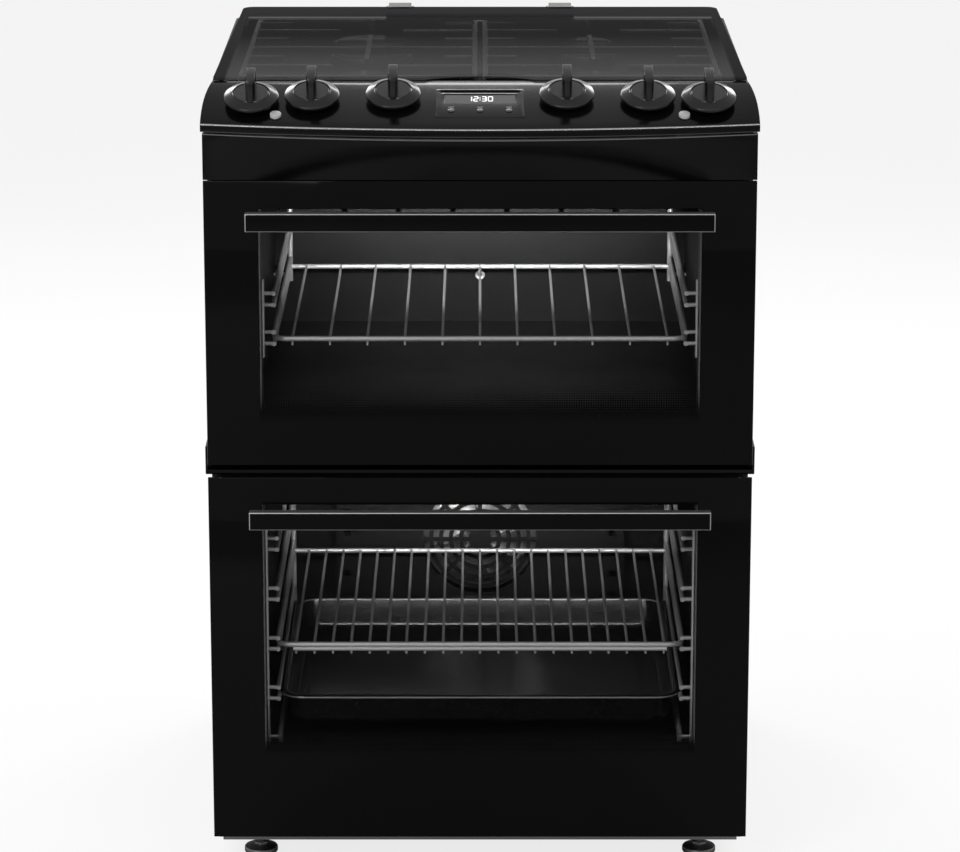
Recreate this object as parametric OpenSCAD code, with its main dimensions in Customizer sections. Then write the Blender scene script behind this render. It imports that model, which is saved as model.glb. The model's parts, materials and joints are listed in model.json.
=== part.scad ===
// Free-standing dual fuel cooker: a gas hob under a hinged glass lid, over two ovens with drop-down doors.
// X runs from left to right, Y from front to back and Z up. The origin is on the floor under the middle.
// Depths are given as the distance behind the outer face of the door glass.

/* [Cabinet] */
// Width over the two side panels
cabinet_w = 592; // [560:1:620]
// Depth from the door glass to the end of the gas inlet
body_depth = 600; // [590:1:640]
// Distance from the rear panel to the end of the gas inlet
inlet_reach = 10; // [8:0.5:20]
// Thickness of the sheet steel
sheet = 1.5; // [1:0.1:2]
// Height of the cabinet floor above the ground
floor_gap = 30; // [26:1:36]
// Depth of the front frame behind the door glass
frame_d = 48.5; // [48.5:0.5:52]
// Height of the front frame above the upper door
frame_rise = 12.6; // [8:0.1:20]
// Height of the hob's raised rim above the upper door
head_h = 80.6; // [78:0.1:90]

/* [Feet] */
// Radius of a foot's pad
foot_r = 19; // [14:1:24]
// Height of a foot's pad
foot_h = 8; // [5:1:12]
// Radius of a foot's stem
stem_r = 5; // [4:0.5:8]
// Distance of the feet from the side panels
foot_inset = 46; // [35:1:70]

/* [Doors] */
// Distance that the doors stand out past the side panels
door_overhang = 1; // [0.5:0.5:1.5]
// Height of the lower door's bottom edge
lower_door_z = 52; // [50:1:56]
// Height of the lower door
lower_door_h = 417; // [380:1:440]
// Distance between the two doors
door_gap = 14.4; // [13:0.1:20]
// Height of the upper door
upper_door_h = 316; // [290:1:340]
// Thickness of the outer and inner door glass
glass_t = 4; // [3:0.5:5]
// Thickness of the whole door
door_t = 40; // [36:1:41]
// Height of the hinge above the door's bottom edge
hinge_rise = 27; // [26:0.5:27]
// Distance of the hinge behind the door glass
hinge_d = 20; // [18:0.5:20]
// Radius of a hinge pin
pin_r = 4; // [3:0.5:4]
// Distance of the windows from the side edges of the doors
window_side = 60; // [50:1:80]
// Distance of a window's lower edge above its door's bottom edge, lower door
lower_window_rise = 95; // [85:1:110]
// Distance of a window's lower edge above its door's bottom edge, upper door
upper_window_rise = 44; // [42:1:60]
// Distance of a window's upper edge below its door's top edge
window_drop = 30; // [26:1:60]
// Width of the door seals
seal_w = 10; // [6:1:12]

/* [Handles] */
// Distance of a handle's ends from the side edges of its door
handle_side = 47; // [20:1:90]
// Height of a handle bar
handle_h = 20; // [14:1:26]
// Thickness of a handle bar
handle_t = 12; // [8:1:16]
// Distance from the door glass to the front of a handle
handle_reach = 45; // [40:1:60]
// Distance of a handle's middle below its door's top edge
handle_drop = 36.5; // [30:0.5:50]
// Distance of a handle's posts from the ends of its bar
post_inset = 25; // [15:1:60]

/* [Ovens] */
// Distance of the ovens' side walls from the outside of the cabinet
oven_side = 50; // [46:1:56]
// Inner depth of the ovens
cavity_depth = 422; // [390:1:440]
// Height of the lower oven's floor above the bottom edge of its door
lower_floor_rise = 53; // [50:1:58]
// Distance of the lower oven's ceiling below the top edge of its door
lower_ceiling_drop = 29; // [26:1:40]
// Height of the upper oven's floor above the bottom edge of its door
upper_floor_rise = 46.6; // [45:0.1:52]
// Distance of the upper oven's ceiling below the top edge of its door
upper_ceiling_drop = 39.4; // [36:0.1:50]
// Height of the fan's shaft above the lower oven's floor
fan_rise = 160; // [150:1:170]
// Radius of the fan
fan_r = 72; // [55:1:80]
// Radius of the ring element
ring_r = 92; // [88:1:100]

/* [Racks] */
// Distance of the shelf runners from the ovens' side walls
runner_inset = 20; // [18:1:24]
// Radius of the runner wires
wire_r = 2.5; // [2:0.1:2.8]
// Radius of the rack's upright wires
upright_r = 3; // [2.5:0.1:3.5]
// Distance between the middles of a runner's two wires
runner_gap = 13; // [12.5:0.1:14]
// Height of the lowest runner above the lower oven's floor
lower_level_rise = 37.6; // [34:0.1:42]
// Distance of the highest runner below the lower oven's ceiling
lower_level_drop = 64.2; // [50:0.1:80]
// Number of runners in the lower oven
lower_levels = 5; // [4:1:5]
// Height of the lowest runner above the upper oven's floor
upper_level_rise = 81.8; // [60:0.1:90]
// Distance between the runners in the upper oven
upper_pitch = 43.6; // [30:0.1:50]
// Number of runners in the upper oven
upper_levels = 2; // [2:1:2]
// Radius of a shelf's frame rods
rod_r = 3; // [2.5:0.1:3]
// Radius of a shelf's rungs
rung_r = 1.5; // [1:0.1:2]
// Number of rungs in the upper shelf
upper_rungs = 11; // [7:2:15]
// Number of rungs in the lower shelf
lower_rungs = 21; // [13:2:25]
// Distance of the shelves and the roasting pan from the ovens' rear walls
shelf_clear = 47; // [44:1:60]
// Depth of the roasting pan's bowl
pan_h = 38; // [25:1:42]
// Thickness of the roasting pan
pan_t = 1.5; // [1:0.1:2]

/* [Hob] */
// Depth of the hob's surface below its raised rim
hob_drop = 28; // [26:0.5:30]
// Distance of the pan supports behind the hob's front edge
support_front_in = 70; // [60:1:80]
// Distance of the pan supports in front of the rear panel
support_rear_in = 61; // [50:1:70]
// Distance of the pan supports from the hob's side edges
support_side = 16; // [10:1:24]
// Distance of the front burners behind the front of the pan supports
front_burner_in = 71; // [62:1:80]
// Distance of the rear burners in front of the rear of the pan supports
rear_burner_in = 76; // [66:1:85]
// Height of the pan supports above the hob's rim
support_rise = 9; // [6:0.5:11]
// Thickness of a pan support's bars
bar_w = 6; // [4:0.5:8]
// Height of a pan support's bars
bar_h = 8; // [6:0.5:9]
// Distance from a burner's middle to the ends of the long bars
bar_clear = 37; // [30:1:45]

/* [Lid] */
// Height of the top of the lid glass above the hob's rim
lid_rise = 20; // [18:0.5:22]
// Distance of the lid's front corners inside the outer faces of the side panels
lid_front_in = 7; // [5:0.5:12]
// Distance of the lid's rear corners inside the outer faces of the side panels
lid_rear_in = 11; // [8:0.5:16]
// Distance of the lid's front edge behind the control panel
lid_front_gap = 1.5; // [1:0.5:4]
// Distance of the lid's rear edge in front of its hinge line
lid_rear_gap = 18.5; // [18:0.5:24]
// Width of the finger notch in the lid's front edge
notch_w = 119; // [80:1:140]
// Depth of the finger notch
notch_h = 22; // [10:1:28]
// Distance of the lid's hinge line in front of the rear panel
lid_axis_in = 16; // [15:0.5:20]
// Height of the lid's hinge line above the hob's rim
lid_axis_rise = 11; // [10:0.5:12]

/* [Controls] */
// Distance that the control panel stands out past the side panels
panel_overhang = 3; // [2:0.5:4]
// Height of the control panel's front lip
lip_h = 8; // [6:0.5:9]
// Depth of the top of the front lip below the hob's rim
lip_drop = 19; // [17:0.5:21]
// Rise of the panel from its lip to its top edge
panel_rise = 35; // [32:0.5:35]
// Distance that the panel bulges forward in the middle
panel_bow = 33; // [24:1:38]
// Distance that the top of the trim bulges forward in the middle
trim_bow = 38; // [28:1:42]
// Thickness of the panel and the trim
panel_t = 3; // [2.5:0.1:3]
// Radius of a knob's skirt
knob_r = 29.5; // [24:0.5:30]
// Height of a knob above the panel
knob_h = 36; // [30:0.5:38]
// Tilt of the knobs' shafts back from the upright
knob_tilt = 22; // [20:0.5:24]
// Radius of a gas valve's spindle
spindle_r = 4; // [3:0.5:4]
// Distance that a gas knob is pushed in
push_travel = 3; // [2:0.1:3]
// Radius of the two push buttons
button_r = 6; // [4:0.5:7]
// Width of the clock window
clock_w = 95; // [80:1:110]
// Length of the clock window up the panel
clock_l = 62; // [56:1:64]
// Radius of the clock's buttons
clock_button_r = 3.5; // [2.5:0.1:4]

/* [Hidden] */

// A small depth by which a cutting shape passes the face that it cuts
cut = 1;
// Radial gap between a pin or shaft and the bore that it turns in
running_fit = 0.05;
// Gap between two moving pieces that pass or rest on each other
gap = 0.4;

$fn = 48;

base_t = 3;
rear_t = 2;

face_y = -(body_depth - handle_reach) / 2;
cabinet_x = cabinet_w / 2;
inner_x = cabinet_x - sheet;
floor_top = floor_gap + base_t;
cavity_d = frame_d + sheet;
cavity_back = cavity_d + cavity_depth;
rear_d = body_depth - inlet_reach;
rear_edge = rear_d + rear_t;

door_x = cabinet_x + door_overhang;
upper_door_z = lower_door_z + lower_door_h + door_gap;
door_top = upper_door_z + upper_door_h;
rim_z = door_top + head_h;
hob_z = rim_z - hob_drop;
window_x = door_x - window_side;

oven_x = cabinet_x - oven_side;
lower_floor = lower_door_z + lower_floor_rise;
lower_cavity_h = lower_door_h - lower_floor_rise - lower_ceiling_drop;
upper_floor = upper_door_z + upper_floor_rise;
upper_cavity_h = upper_door_h - upper_floor_rise - upper_ceiling_drop;
// Floor and inner height of the two ovens
ovens = [[lower_floor, lower_cavity_h], [upper_floor, upper_cavity_h]];

function back(d) = face_y + d;
function mix(a, b, k) = a + (b - a) * k;

// A box between two values of X, two depths and two heights
module block(x0, x1, d0, d1, z0, z1) {
    translate([x0, back(d0), z0]) cube([x1 - x0, d1 - d0, z1 - z0]);
}

module wide_block(half, d0, d1, z0, z1) {
    block(-half, half, d0, d1, z0, z1);
}

// The children and their mirror image on the other side
module both_sides() {
    children();
    mirror([1, 0, 0]) children();
}

// Round bars along the three axes
module rod_x(x0, x1, d, z, r) {
    translate([x0, back(d), z]) rotate([0, 90, 0]) cylinder(h = x1 - x0, r = r);
}

module rod_y(x, d0, d1, z, r) {
    translate([x, back(d0), z]) rotate([-90, 0, 0]) cylinder(h = d1 - d0, r = r);
}

module rod_z(x, d, z0, z1, r) {
    translate([x, back(d), z0]) cylinder(h = z1 - z0, r = r);
}

// A closed shape through sections of equal count; the second half of a section runs back along the first
module skin(sections) {
    n = len(sections[0]);
    last = (len(sections) - 1) * n;
    points = [for (section = sections) each section];
    sides = [for (s = [0:len(sections) - 2]) for (i = [0:n - 1]) each
        let (a = s * n + i, b = s * n + (i + 1) % n, c = a + n, e = b + n) [[a, b, c], [b, e, c]]];
    front = [for (i = [0:n / 2 - 2]) each
        let (a = i, b = i + 1, c = n - 1 - i, e = n - 2 - i) [[a, c, b], [b, c, e]]];
    rear = [for (f = front) [last + f[0], last + f[2], last + f[1]]];
    polyhedron(points = points, faces = concat(sides, front, rear));
}

// Cabinet

flange_w = 16;
flange_h = 40;

module side_panels() {
    top = rim_z - rim_t;
    front = frame_d + sheet;
    color("black") both_sides() union() {
        block(inner_x, cabinet_x, frame_d, rear_edge, floor_top, top);
        block(inner_x - flange_w, inner_x, front, front + sheet, floor_top, floor_top + flange_h);
        block(inner_x - flange_w, inner_x, rear_d - sheet, rear_d, floor_top, rim_z - flange_h);
    }
}

// Distance between the two holes for a wall fixing, and their depth below the hob's rim
fixing_span = 240;
fixing_drop = 180;
fixing_r = 3;
inlet_in = 66;
inlet_x = cabinet_x - inlet_in;
inlet_r = 10.5;
inlet_length = 20;
inlet_d = body_depth - inlet_length;

module rear_panel() {
    fixing_z = rim_z - fixing_drop;
    low = 20;
    vent_w = 60;
    vent_h = 5;
    vent_pitch = 80;
    vent_drop = 90;
    row_pitch = 12;
    color("silver") difference() {
        wide_block(inner_x, rear_d, rear_edge, floor_top + low, rim_z - rim_t);
        for (column = [-2:2]) for (row = [0:4])
            translate([column * vent_pitch, 0, fixing_z - vent_drop + row * row_pitch])
                wide_block(vent_w / 2, rear_d - cut, rear_edge + cut, 0, vent_h);
        for (side = [-1, 1]) rod_y(side * fixing_span / 2, rear_d - cut, rear_edge + cut, fixing_z, fixing_r);
        rod_y(inlet_x, rear_d - cut, rear_edge + cut, rail_z, inlet_r + cut);
    }
}

front_foot_d = 90;
rear_foot_in = 50;
rear_foot_d = rear_d - rear_foot_in;
foot_places = [[-1, front_foot_d], [1, front_foot_d], [-1, rear_foot_d], [1, rear_foot_d]];
foot_x = cabinet_x - foot_inset;

module base_frame() {
    rail = 25;
    color("dimgray") difference() {
        union() {
            wide_block(inner_x, base_d, rear_d, floor_gap, floor_top);
            for (d = [base_d, rear_d - 2 * sheet])
                wide_block(inner_x - flange_w, d, d + sheet, floor_top, floor_top + rail);
            plinth_rail();
        }
        for (place = foot_places)
            rod_z(place[0] * foot_x, place[1], floor_gap - cut, floor_top + cut, stem_r + running_fit);
    }
}

plinth_d = frame_d + 4;
base_d = plinth_d + 8;

module plinth_rail() {
    top_gap = 8;
    bottom_drop = 2;
    end_gap = 4;
    stay = 20;
    stay_z = floor_gap + 4;
    wide_block(inner_x - end_gap, plinth_d, plinth_d + sheet, floor_gap - bottom_drop,
        lower_door_z - top_gap);
    wide_block(inner_x - stay, plinth_d, base_d + sheet, stay_z, stay_z + sheet);
}

module foot(index) {
    place = foot_places[index];
    stem_rise = 27;
    color("dimgray") union() {
        rod_z(place[0] * foot_x, place[1], 0, foot_h, foot_r);
        rod_z(place[0] * foot_x, place[1], foot_h / 2, floor_top + stem_rise, stem_r);
    }
}

ear_r = 9;
ear_x = door_x - ear_r;
ear_t = 3;
lower_axis_z = lower_door_z + hinge_rise;
upper_axis_z = upper_door_z + hinge_rise;

module hinge_ear(axis_z) {
    arm = ear_r - 1;
    difference() {
        union() {
            block(ear_x, ear_x + ear_t, hinge_d, frame_d + sheet / 2, axis_z - arm, axis_z + arm);
            rod_x(ear_x, ear_x + ear_t, hinge_d, axis_z, ear_r);
        }
        rod_x(ear_x - cut, ear_x + ear_t + cut, hinge_d, axis_z, pin_r + running_fit);
    }
}

module front_frame() {
    color("black") union() {
        difference() {
            wide_block(inner_x, frame_d, cavity_d, floor_top, door_top + frame_rise);
            for (oven = ovens) wide_block(oven_x, frame_d - cut, cavity_d + cut, oven[0], oven[0] + oven[1]);
        }
        both_sides() {
            hinge_ear(lower_axis_z);
            hinge_ear(upper_axis_z);
        }
    }
}

module cavity(floor_z, h) {
    difference() {
        wide_block(oven_x + sheet, cavity_d, cavity_back + sheet, floor_z - sheet, floor_z + h + sheet);
        wide_block(oven_x, cavity_d - cut, cavity_back, floor_z, floor_z + h);
    }
}

module upper_cavity() {
    color("dimgray") cavity(upper_floor, upper_cavity_h);
}

shaft_r = 3;
fan_z = lower_floor + fan_rise;

module lower_cavity() {
    color("dimgray") difference() {
        cavity(lower_floor, lower_cavity_h);
        rod_y(0, cavity_back - cut, cavity_back + sheet + cut, fan_z, shaft_r + cut);
    }
}

cheek_out = 4;
strip_gap = 1.2;

module door_divider() {
    cheek_x = cabinet_x + cheek_out;
    strip_z = lower_door_z + lower_door_h + strip_gap;
    strip_h = 5;
    strip_d = 10;
    cheek_d = 8;
    cheek_h = 32;
    color("black") union() {
        wide_block(cheek_x, strip_d, frame_d, strip_z, strip_z + strip_h);
        both_sides() block(door_x + gap, cheek_x, cheek_d, frame_d, strip_z + strip_h / 5, strip_z + cheek_h);
    }
}

seal_gap = 4;

module door_seals() {
    outer = seal_gap + seal_w;
    color("dimgray") for (oven = ovens) {
        low = oven[0];
        high = oven[0] + oven[1];
        difference() {
            wide_block(oven_x + outer, door_t + gap, frame_d, low - outer, high + outer);
            wide_block(oven_x + seal_gap, door_t, frame_d + cut, low - seal_gap, high + seal_gap);
        }
    }
}

// Doors

// Distance of the inner door frame from the edges of the outer glass: at the sides, bottom and top
frame_side = 12;
frame_bottom = 20;
frame_drop = 4;
frame_x = door_x - frame_side;

module door_glass(z, h) {
    wide_block(door_x, 0, glass_t, z, z + h);
}

module door_frame(z, h, window_rise) {
    back_d = door_t - glass_t;
    low = z + frame_bottom;
    high = z + h - frame_drop;
    window_low = z + window_rise;
    window_high = z + h - window_drop;
    difference() {
        wide_block(frame_x, glass_t, back_d, low, high);
        difference() {
            wide_block(frame_x - sheet, glass_t - cut, back_d - sheet, low + sheet, high - sheet);
            wide_block(window_x + sheet, 0, back_d, window_low - sheet, window_high + sheet);
        }
        wide_block(window_x, 0, door_t, window_low, window_high);
        both_sides() rod_x(frame_x - sheet - cut, frame_x + cut, hinge_d, z + hinge_rise, pin_r);
    }
}

module door_inner_glass(z, h) {
    past_seal = 2;
    rise = 29;
    drop = 10;
    wide_block(oven_x + seal_gap + seal_w + past_seal, door_t - glass_t, door_t, z + rise, z + h - drop);
}

module door_handle(z, h) {
    half = door_x - handle_side;
    middle = z + h - handle_drop;
    bevel = 1;
    bar_back = handle_t - handle_reach;
    post_half = 9;
    post_trim = 3;
    post_h = handle_h - 2 * post_trim;
    translate([-half, back(-handle_reach), middle - handle_h / 2]) rotate([90, 0, 90])
        linear_extrude(2 * half)
            polygon([[bevel, 0], [handle_t - bevel, 0], [handle_t, bevel], [handle_t, handle_h - bevel],
                [handle_t - bevel, handle_h], [bevel, handle_h], [0, handle_h - bevel], [0, bevel]]);
    both_sides() block(half - post_inset - post_half, half - post_inset + post_half, bar_back, 0,
        middle - post_h / 2, middle + post_h / 2);
}

module door_hinges(z) {
    case_gap = 12;
    case_h = 40;
    low = z + frame_bottom + sheet;
    both_sides() union() {
        block(window_x + sheet + case_gap, frame_x - sheet, glass_t, door_t - glass_t - sheet, low,
            low + case_h);
        rod_x(frame_x - sheet - cut, ear_x + ear_t, hinge_d, z + hinge_rise, pin_r);
    }
}

module lower_door_glass() { color("black") door_glass(lower_door_z, lower_door_h); }
module lower_door_frame() { color("dimgray") door_frame(lower_door_z, lower_door_h, lower_window_rise); }
module lower_door_inner_glass() { color("gray") door_inner_glass(lower_door_z, lower_door_h); }
module lower_door_handle() { color("black") door_handle(lower_door_z, lower_door_h); }
module lower_door_hinges() { color("silver") door_hinges(lower_door_z); }
module upper_door_glass() { color("black") door_glass(upper_door_z, upper_door_h); }
module upper_door_frame() { color("dimgray") door_frame(upper_door_z, upper_door_h, upper_window_rise); }
module upper_door_inner_glass() { color("gray") door_inner_glass(upper_door_z, upper_door_h); }
module upper_door_handle() { color("black") door_handle(upper_door_z, upper_door_h); }
module upper_door_hinges() { color("silver") door_hinges(upper_door_z); }

// Racks, shelves and pan

shelf_in = 5;
rack_in = 10;
upright_in = 7;
rack_behind = 6;
runner_x = oven_x - runner_inset;
upright_x = oven_x - upright_in;
rack_front = cavity_d + rack_in;
shelf_front = cavity_d + shelf_in;
shelf_back = cavity_back - shelf_clear;
rack_back = shelf_back + rack_behind;
lower_level = lower_floor + lower_level_rise;
lower_pitch = (lower_cavity_h - lower_level_rise - lower_level_drop) / (lower_levels - 1);
upper_level = upper_floor + upper_level_rise;

// One side's rack: two uprights and, at each level, an upper and a lower wire with a short bend at the front
module rack(level, pitch, levels) {
    end = 22;
    tie = 8;
    thin = wire_r - 0.2;
    low = level - end;
    high = level + pitch * (levels - 1) + end;
    union() {
        rod_z(upright_x, rack_front, low, high, upright_r);
        rod_z(runner_x, rack_back, low, high, upright_r);
        for (z = [low + tie, high - tie]) {
            rod_x(upright_x, oven_x, rack_front, z, thin);
            rod_x(runner_x, oven_x, rack_back, z, thin);
        }
        for (i = [0:levels - 1]) for (side = [-1, 1]) {
            z = level + pitch * i + side * runner_gap / 2;
            rod_x(runner_x, upright_x, rack_front, z, thin);
            rod_y(runner_x, rack_front - thin, rack_back, z, wire_r);
        }
    }
}

module side_racks() {
    color("silver") {
        both_sides() rack(lower_level, lower_pitch, lower_levels);
        both_sides() rack(upper_level, upper_pitch, upper_levels);
    }
}

// Height at which a piece of half-thickness t lies on the lower wire of a runner
function seat(level, t) = level - runner_gap / 2 + wire_r + gap + t;

// Shelf: a frame of rods with rounded front corners, and rungs from front to back whose tips bend down
// behind the front rod; a low bar, where there is one, lies under the front rod
module shelf(z, rungs, low_bar) {
    corner = 14;
    rung_side = 20;
    rear_in = 8;
    tip_in = 3;
    tip_h = 8;
    bar_drop = 5;
    front = shelf_front + rod_r;
    rear = shelf_back - rod_r;
    half = runner_x - rung_side;
    union() {
        both_sides() {
            rod_y(runner_x, front + corner, shelf_back, z, rod_r);
            translate([runner_x - corner, back(front + corner), z]) rotate([0, 0, -90])
                rotate_extrude(angle = 90) translate([corner, 0]) circle(r = rod_r);
        }
        rod_x(corner - runner_x, runner_x - corner, front, z, rod_r);
        rod_x(-runner_x, runner_x, rear - rear_in, z, rod_r - 0.2);
        for (i = [0:rungs - 1]) {
            x = mix(-half, half, i / (rungs - 1));
            rod_y(x, front + tip_in, rear - rear_in, z + gap, rung_r);
            rod_z(x, front + tip_in, z - tip_h, z + gap, rung_r - 0.2);
        }
        if (low_bar) rod_x(-half - 2 * rung_r, half + 2 * rung_r, front, z - bar_drop, rod_r - 0.6);
    }
}

lower_shelf_z = seat(lower_level + 2 * lower_pitch, rod_r);
upper_shelf_z = seat(upper_level, rod_r);

module upper_shelf() { color("silver") shelf(upper_shelf_z, upper_rungs, false); }
module lower_shelf() { color("silver") shelf(lower_shelf_z, lower_rungs, true); }

module tapered_tray(x, d0, d1, z0, z1, draft) {
    skin_t = 0.01;
    hull() {
        wide_block(x, d0, d1, z1 - skin_t, z1);
        wide_block(x - draft, d0 + draft, d1 - draft, z0, z0 + skin_t);
    }
}

module roasting_pan() {
    rim_w = 8;
    rim_over = 2;
    draft = 9;
    rim_low = seat(lower_level + lower_pitch, 0);
    bowl_x = runner_x - wire_r - rim_w;
    front = shelf_front + rim_w;
    rear = shelf_back - rim_w;
    color("black") difference() {
        union() {
            wide_block(runner_x + rim_over, shelf_front, shelf_back, rim_low, rim_low + pan_t);
            tapered_tray(bowl_x, front, rear, rim_low - pan_h, rim_low + pan_t, draft);
        }
        tapered_tray(bowl_x - pan_t, front + pan_t, rear - pan_t, rim_low - pan_h + pan_t,
            rim_low + pan_t + cut, draft);
    }
}

// Fan, elements and grill

cover_depth = 32;
cover_front = cavity_back - cover_depth;
cover_margin = 37.5;
cover_z = lower_cavity_h / 2 - cover_margin;
cover_side = 71;
cover_x = oven_x - cover_side;

module fan_cover() {
    slot = 7;
    step = 12;
    first = 14;
    spoke = 5;
    side_in = 14;
    side_half = 4;
    side_pitch = 26;
    side_slots = 8;
    color("gray") difference() {
        wide_block(cover_x, cover_front, cavity_back, fan_z - cover_z, fan_z + cover_z);
        wide_block(cover_x - sheet, cover_front + sheet, cavity_back + cut, fan_z - cover_z + sheet,
            fan_z + cover_z - sheet);
        translate([0, back(cover_front + 2 * sheet), fan_z]) rotate([90, 0, 0]) linear_extrude(4 * sheet)
            difference() {
                for (r = [first:step:fan_r - slot]) difference() {
                    circle(r = r + slot);
                    circle(r = r);
                }
                for (a = [0:45:135]) rotate(a) square([2 * fan_r, spoke], center = true);
            }
        both_sides() for (i = [0:side_slots - 1])
            block(cover_x - side_in - side_half, cover_x - side_in + side_half, cover_front - cut,
                cover_front + sheet + cut, fan_z + (i - side_slots / 2) * side_pitch + side_half,
                fan_z + (i - side_slots / 2) * side_pitch + 3 * side_half);
    }
}

module fan_blade() {
    vanes = 8;
    vane_t = 1.2;
    vane_w = 15;
    vane_in = 12;
    vane_turn = 25;
    hub_r = 11;
    behind = 8;
    shaft_end = 15;
    disc_d = cavity_back - behind;
    color("silver") union() {
        rod_y(0, cover_front + behind, disc_d, fan_z, hub_r);
        rod_y(0, disc_d - 1, disc_d, fan_z, fan_r - 2);
        rod_y(0, disc_d - 2, cavity_back + motor_depth - shaft_end, fan_z, shaft_r);
        translate([0, back(disc_d), fan_z]) rotate([90, 0, 0]) for (i = [0:vanes - 1]) rotate(i * 360 / vanes)
            translate([hub_r + vane_in, -vane_t, 0.5]) rotate([0, 0, vane_turn])
                cube([fan_r - hub_r - 2 * vane_in - 3, vane_t, vane_w]);
    }
}

motor_depth = 45;

module fan_motor() {
    motor_r = 34;
    bore_depth = motor_depth - 9;
    plate_half = 45;
    plate_z = 20;
    wall = cavity_back + sheet;
    color("silver") difference() {
        union() {
            rod_y(0, wall, cavity_back + motor_depth, fan_z, motor_r);
            block(-plate_half, plate_half, wall, wall + 2 * sheet, fan_z - plate_z, fan_z + plate_z);
        }
        rod_y(0, cavity_back, cavity_back + bore_depth, fan_z, shaft_r + running_fit);
    }
}

module heating_elements() {
    ring_wire = 3.3;
    ring_in = 18;
    tail_x = 12;
    grill_wire = 3.5;
    thin = grill_wire - 0.3;
    grill_pitch = 60;
    grill_in = 50;
    grill_rear = 40;
    grill_drop = 22;
    rods = 6;
    bend = 4;
    grill_z = upper_floor + upper_cavity_h - grill_drop;
    front = cavity_d + grill_in;
    function rod_place(i) = (i - (rods - 1) / 2) * grill_pitch;
    color("dimgray") {
        union() {
            translate([0, back(cavity_back - ring_in), fan_z]) rotate([90, 0, 0]) rotate_extrude()
                translate([ring_r, 0]) circle(r = ring_wire);
            for (side = [-1, 1])
                rod_y(side * tail_x, cavity_back - ring_in, cavity_back, fan_z + ring_r - ring_wire / 4,
                    ring_wire - 0.3);
        }
        union() {
            for (i = [0:rods - 1])
                rod_y(rod_place(i), front, cavity_back - (i % (rods - 1) == 0 ? 0 : grill_rear), grill_z,
                    grill_wire);
            for (i = [0:2:rods - 2]) rod_x(rod_place(i), rod_place(i + 1), front + bend, grill_z, thin);
            for (i = [1:2:rods - 3])
                rod_x(rod_place(i), rod_place(i + 1), cavity_back - grill_rear - bend, grill_z, thin);
        }
    }
}

// Hob

rim_t = 2;
hob_side = 14;
hob_x = cabinet_x - hob_side;
panel_back = 70;
hob_front = panel_back;
hob_rear_in = 5;
hob_rear = rear_d - hob_rear_in;
cup_r = 20;

support_in = 3;
support_out = hob_x - support_side;
support_front = hob_front + support_front_in;
support_rear = rear_d - support_rear_in;

// The burners lie a little nearer to the middle than the middles of the pan supports
burner_shift = 6.5;
burner_x = (support_in + support_out) / 2 - burner_shift;
front_burner_d = support_front + front_burner_in;
rear_burner_d = support_rear - rear_burner_in;
small_r = 29;
medium_r = 38;
large_r = 46;
burners = [[-burner_x, front_burner_d, medium_r], [burner_x, front_burner_d, medium_r],
    [-burner_x, rear_burner_d, large_r], [burner_x, rear_burner_d, small_r]];

module hob_top() {
    rim_front = hob_front + 8;
    color("black") difference() {
        union() {
            wide_block(hob_x, hob_front, hob_rear, hob_z - rim_t, rim_z);
            wide_block(cabinet_x, rim_front, rear_edge, rim_z - rim_t, rim_z);
        }
        wide_block(hob_x - rim_t, hob_front + rim_t, hob_rear - rim_t, hob_z, rim_z + cut);
        for (burner = burners) rod_z(burner[0], burner[1], hob_z - rim_t - cut, hob_z + cut, cup_r);
    }
}

// Heights of a burner's parts above the hob
cup_h = 9;
crown_h = 9;
cap_t = 4;
crown_z = hob_z + cup_h;
burner_cap_z = crown_z + crown_h;

module burner_cups() {
    spark_r = 2.5;
    spark_h = 18;
    flare = 3;
    well = 26;
    color("silver") for (burner = burners) {
        union() {
            rod_z(burner[0], burner[1], hob_z - well, hob_z, cup_r);
            rod_z(burner[0], burner[1], hob_z, crown_z, burner[2] + flare);
        }
        rod_z(burner[0], burner[1] + burner[2] + flare + spark_r + gap, hob_z, hob_z + spark_h, spark_r);
    }
}

module burner_crowns() {
    neck_in = 4;
    foot_t = 3;
    color("gray") for (burner = burners) union() {
        rod_z(burner[0], burner[1], crown_z, burner_cap_z, burner[2] - neck_in);
        rod_z(burner[0], burner[1], crown_z, crown_z + foot_t, burner[2]);
    }
}

module burner_caps() {
    step_in = 5;
    step_h = 2;
    color("black") for (burner = burners) union() {
        rod_z(burner[0], burner[1], burner_cap_z, burner_cap_z + cap_t, burner[2] - 1);
        rod_z(burner[0], burner[1], burner_cap_z + cap_t / 2, burner_cap_z + cap_t + step_h,
            burner[2] - step_in);
    }
}

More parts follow.
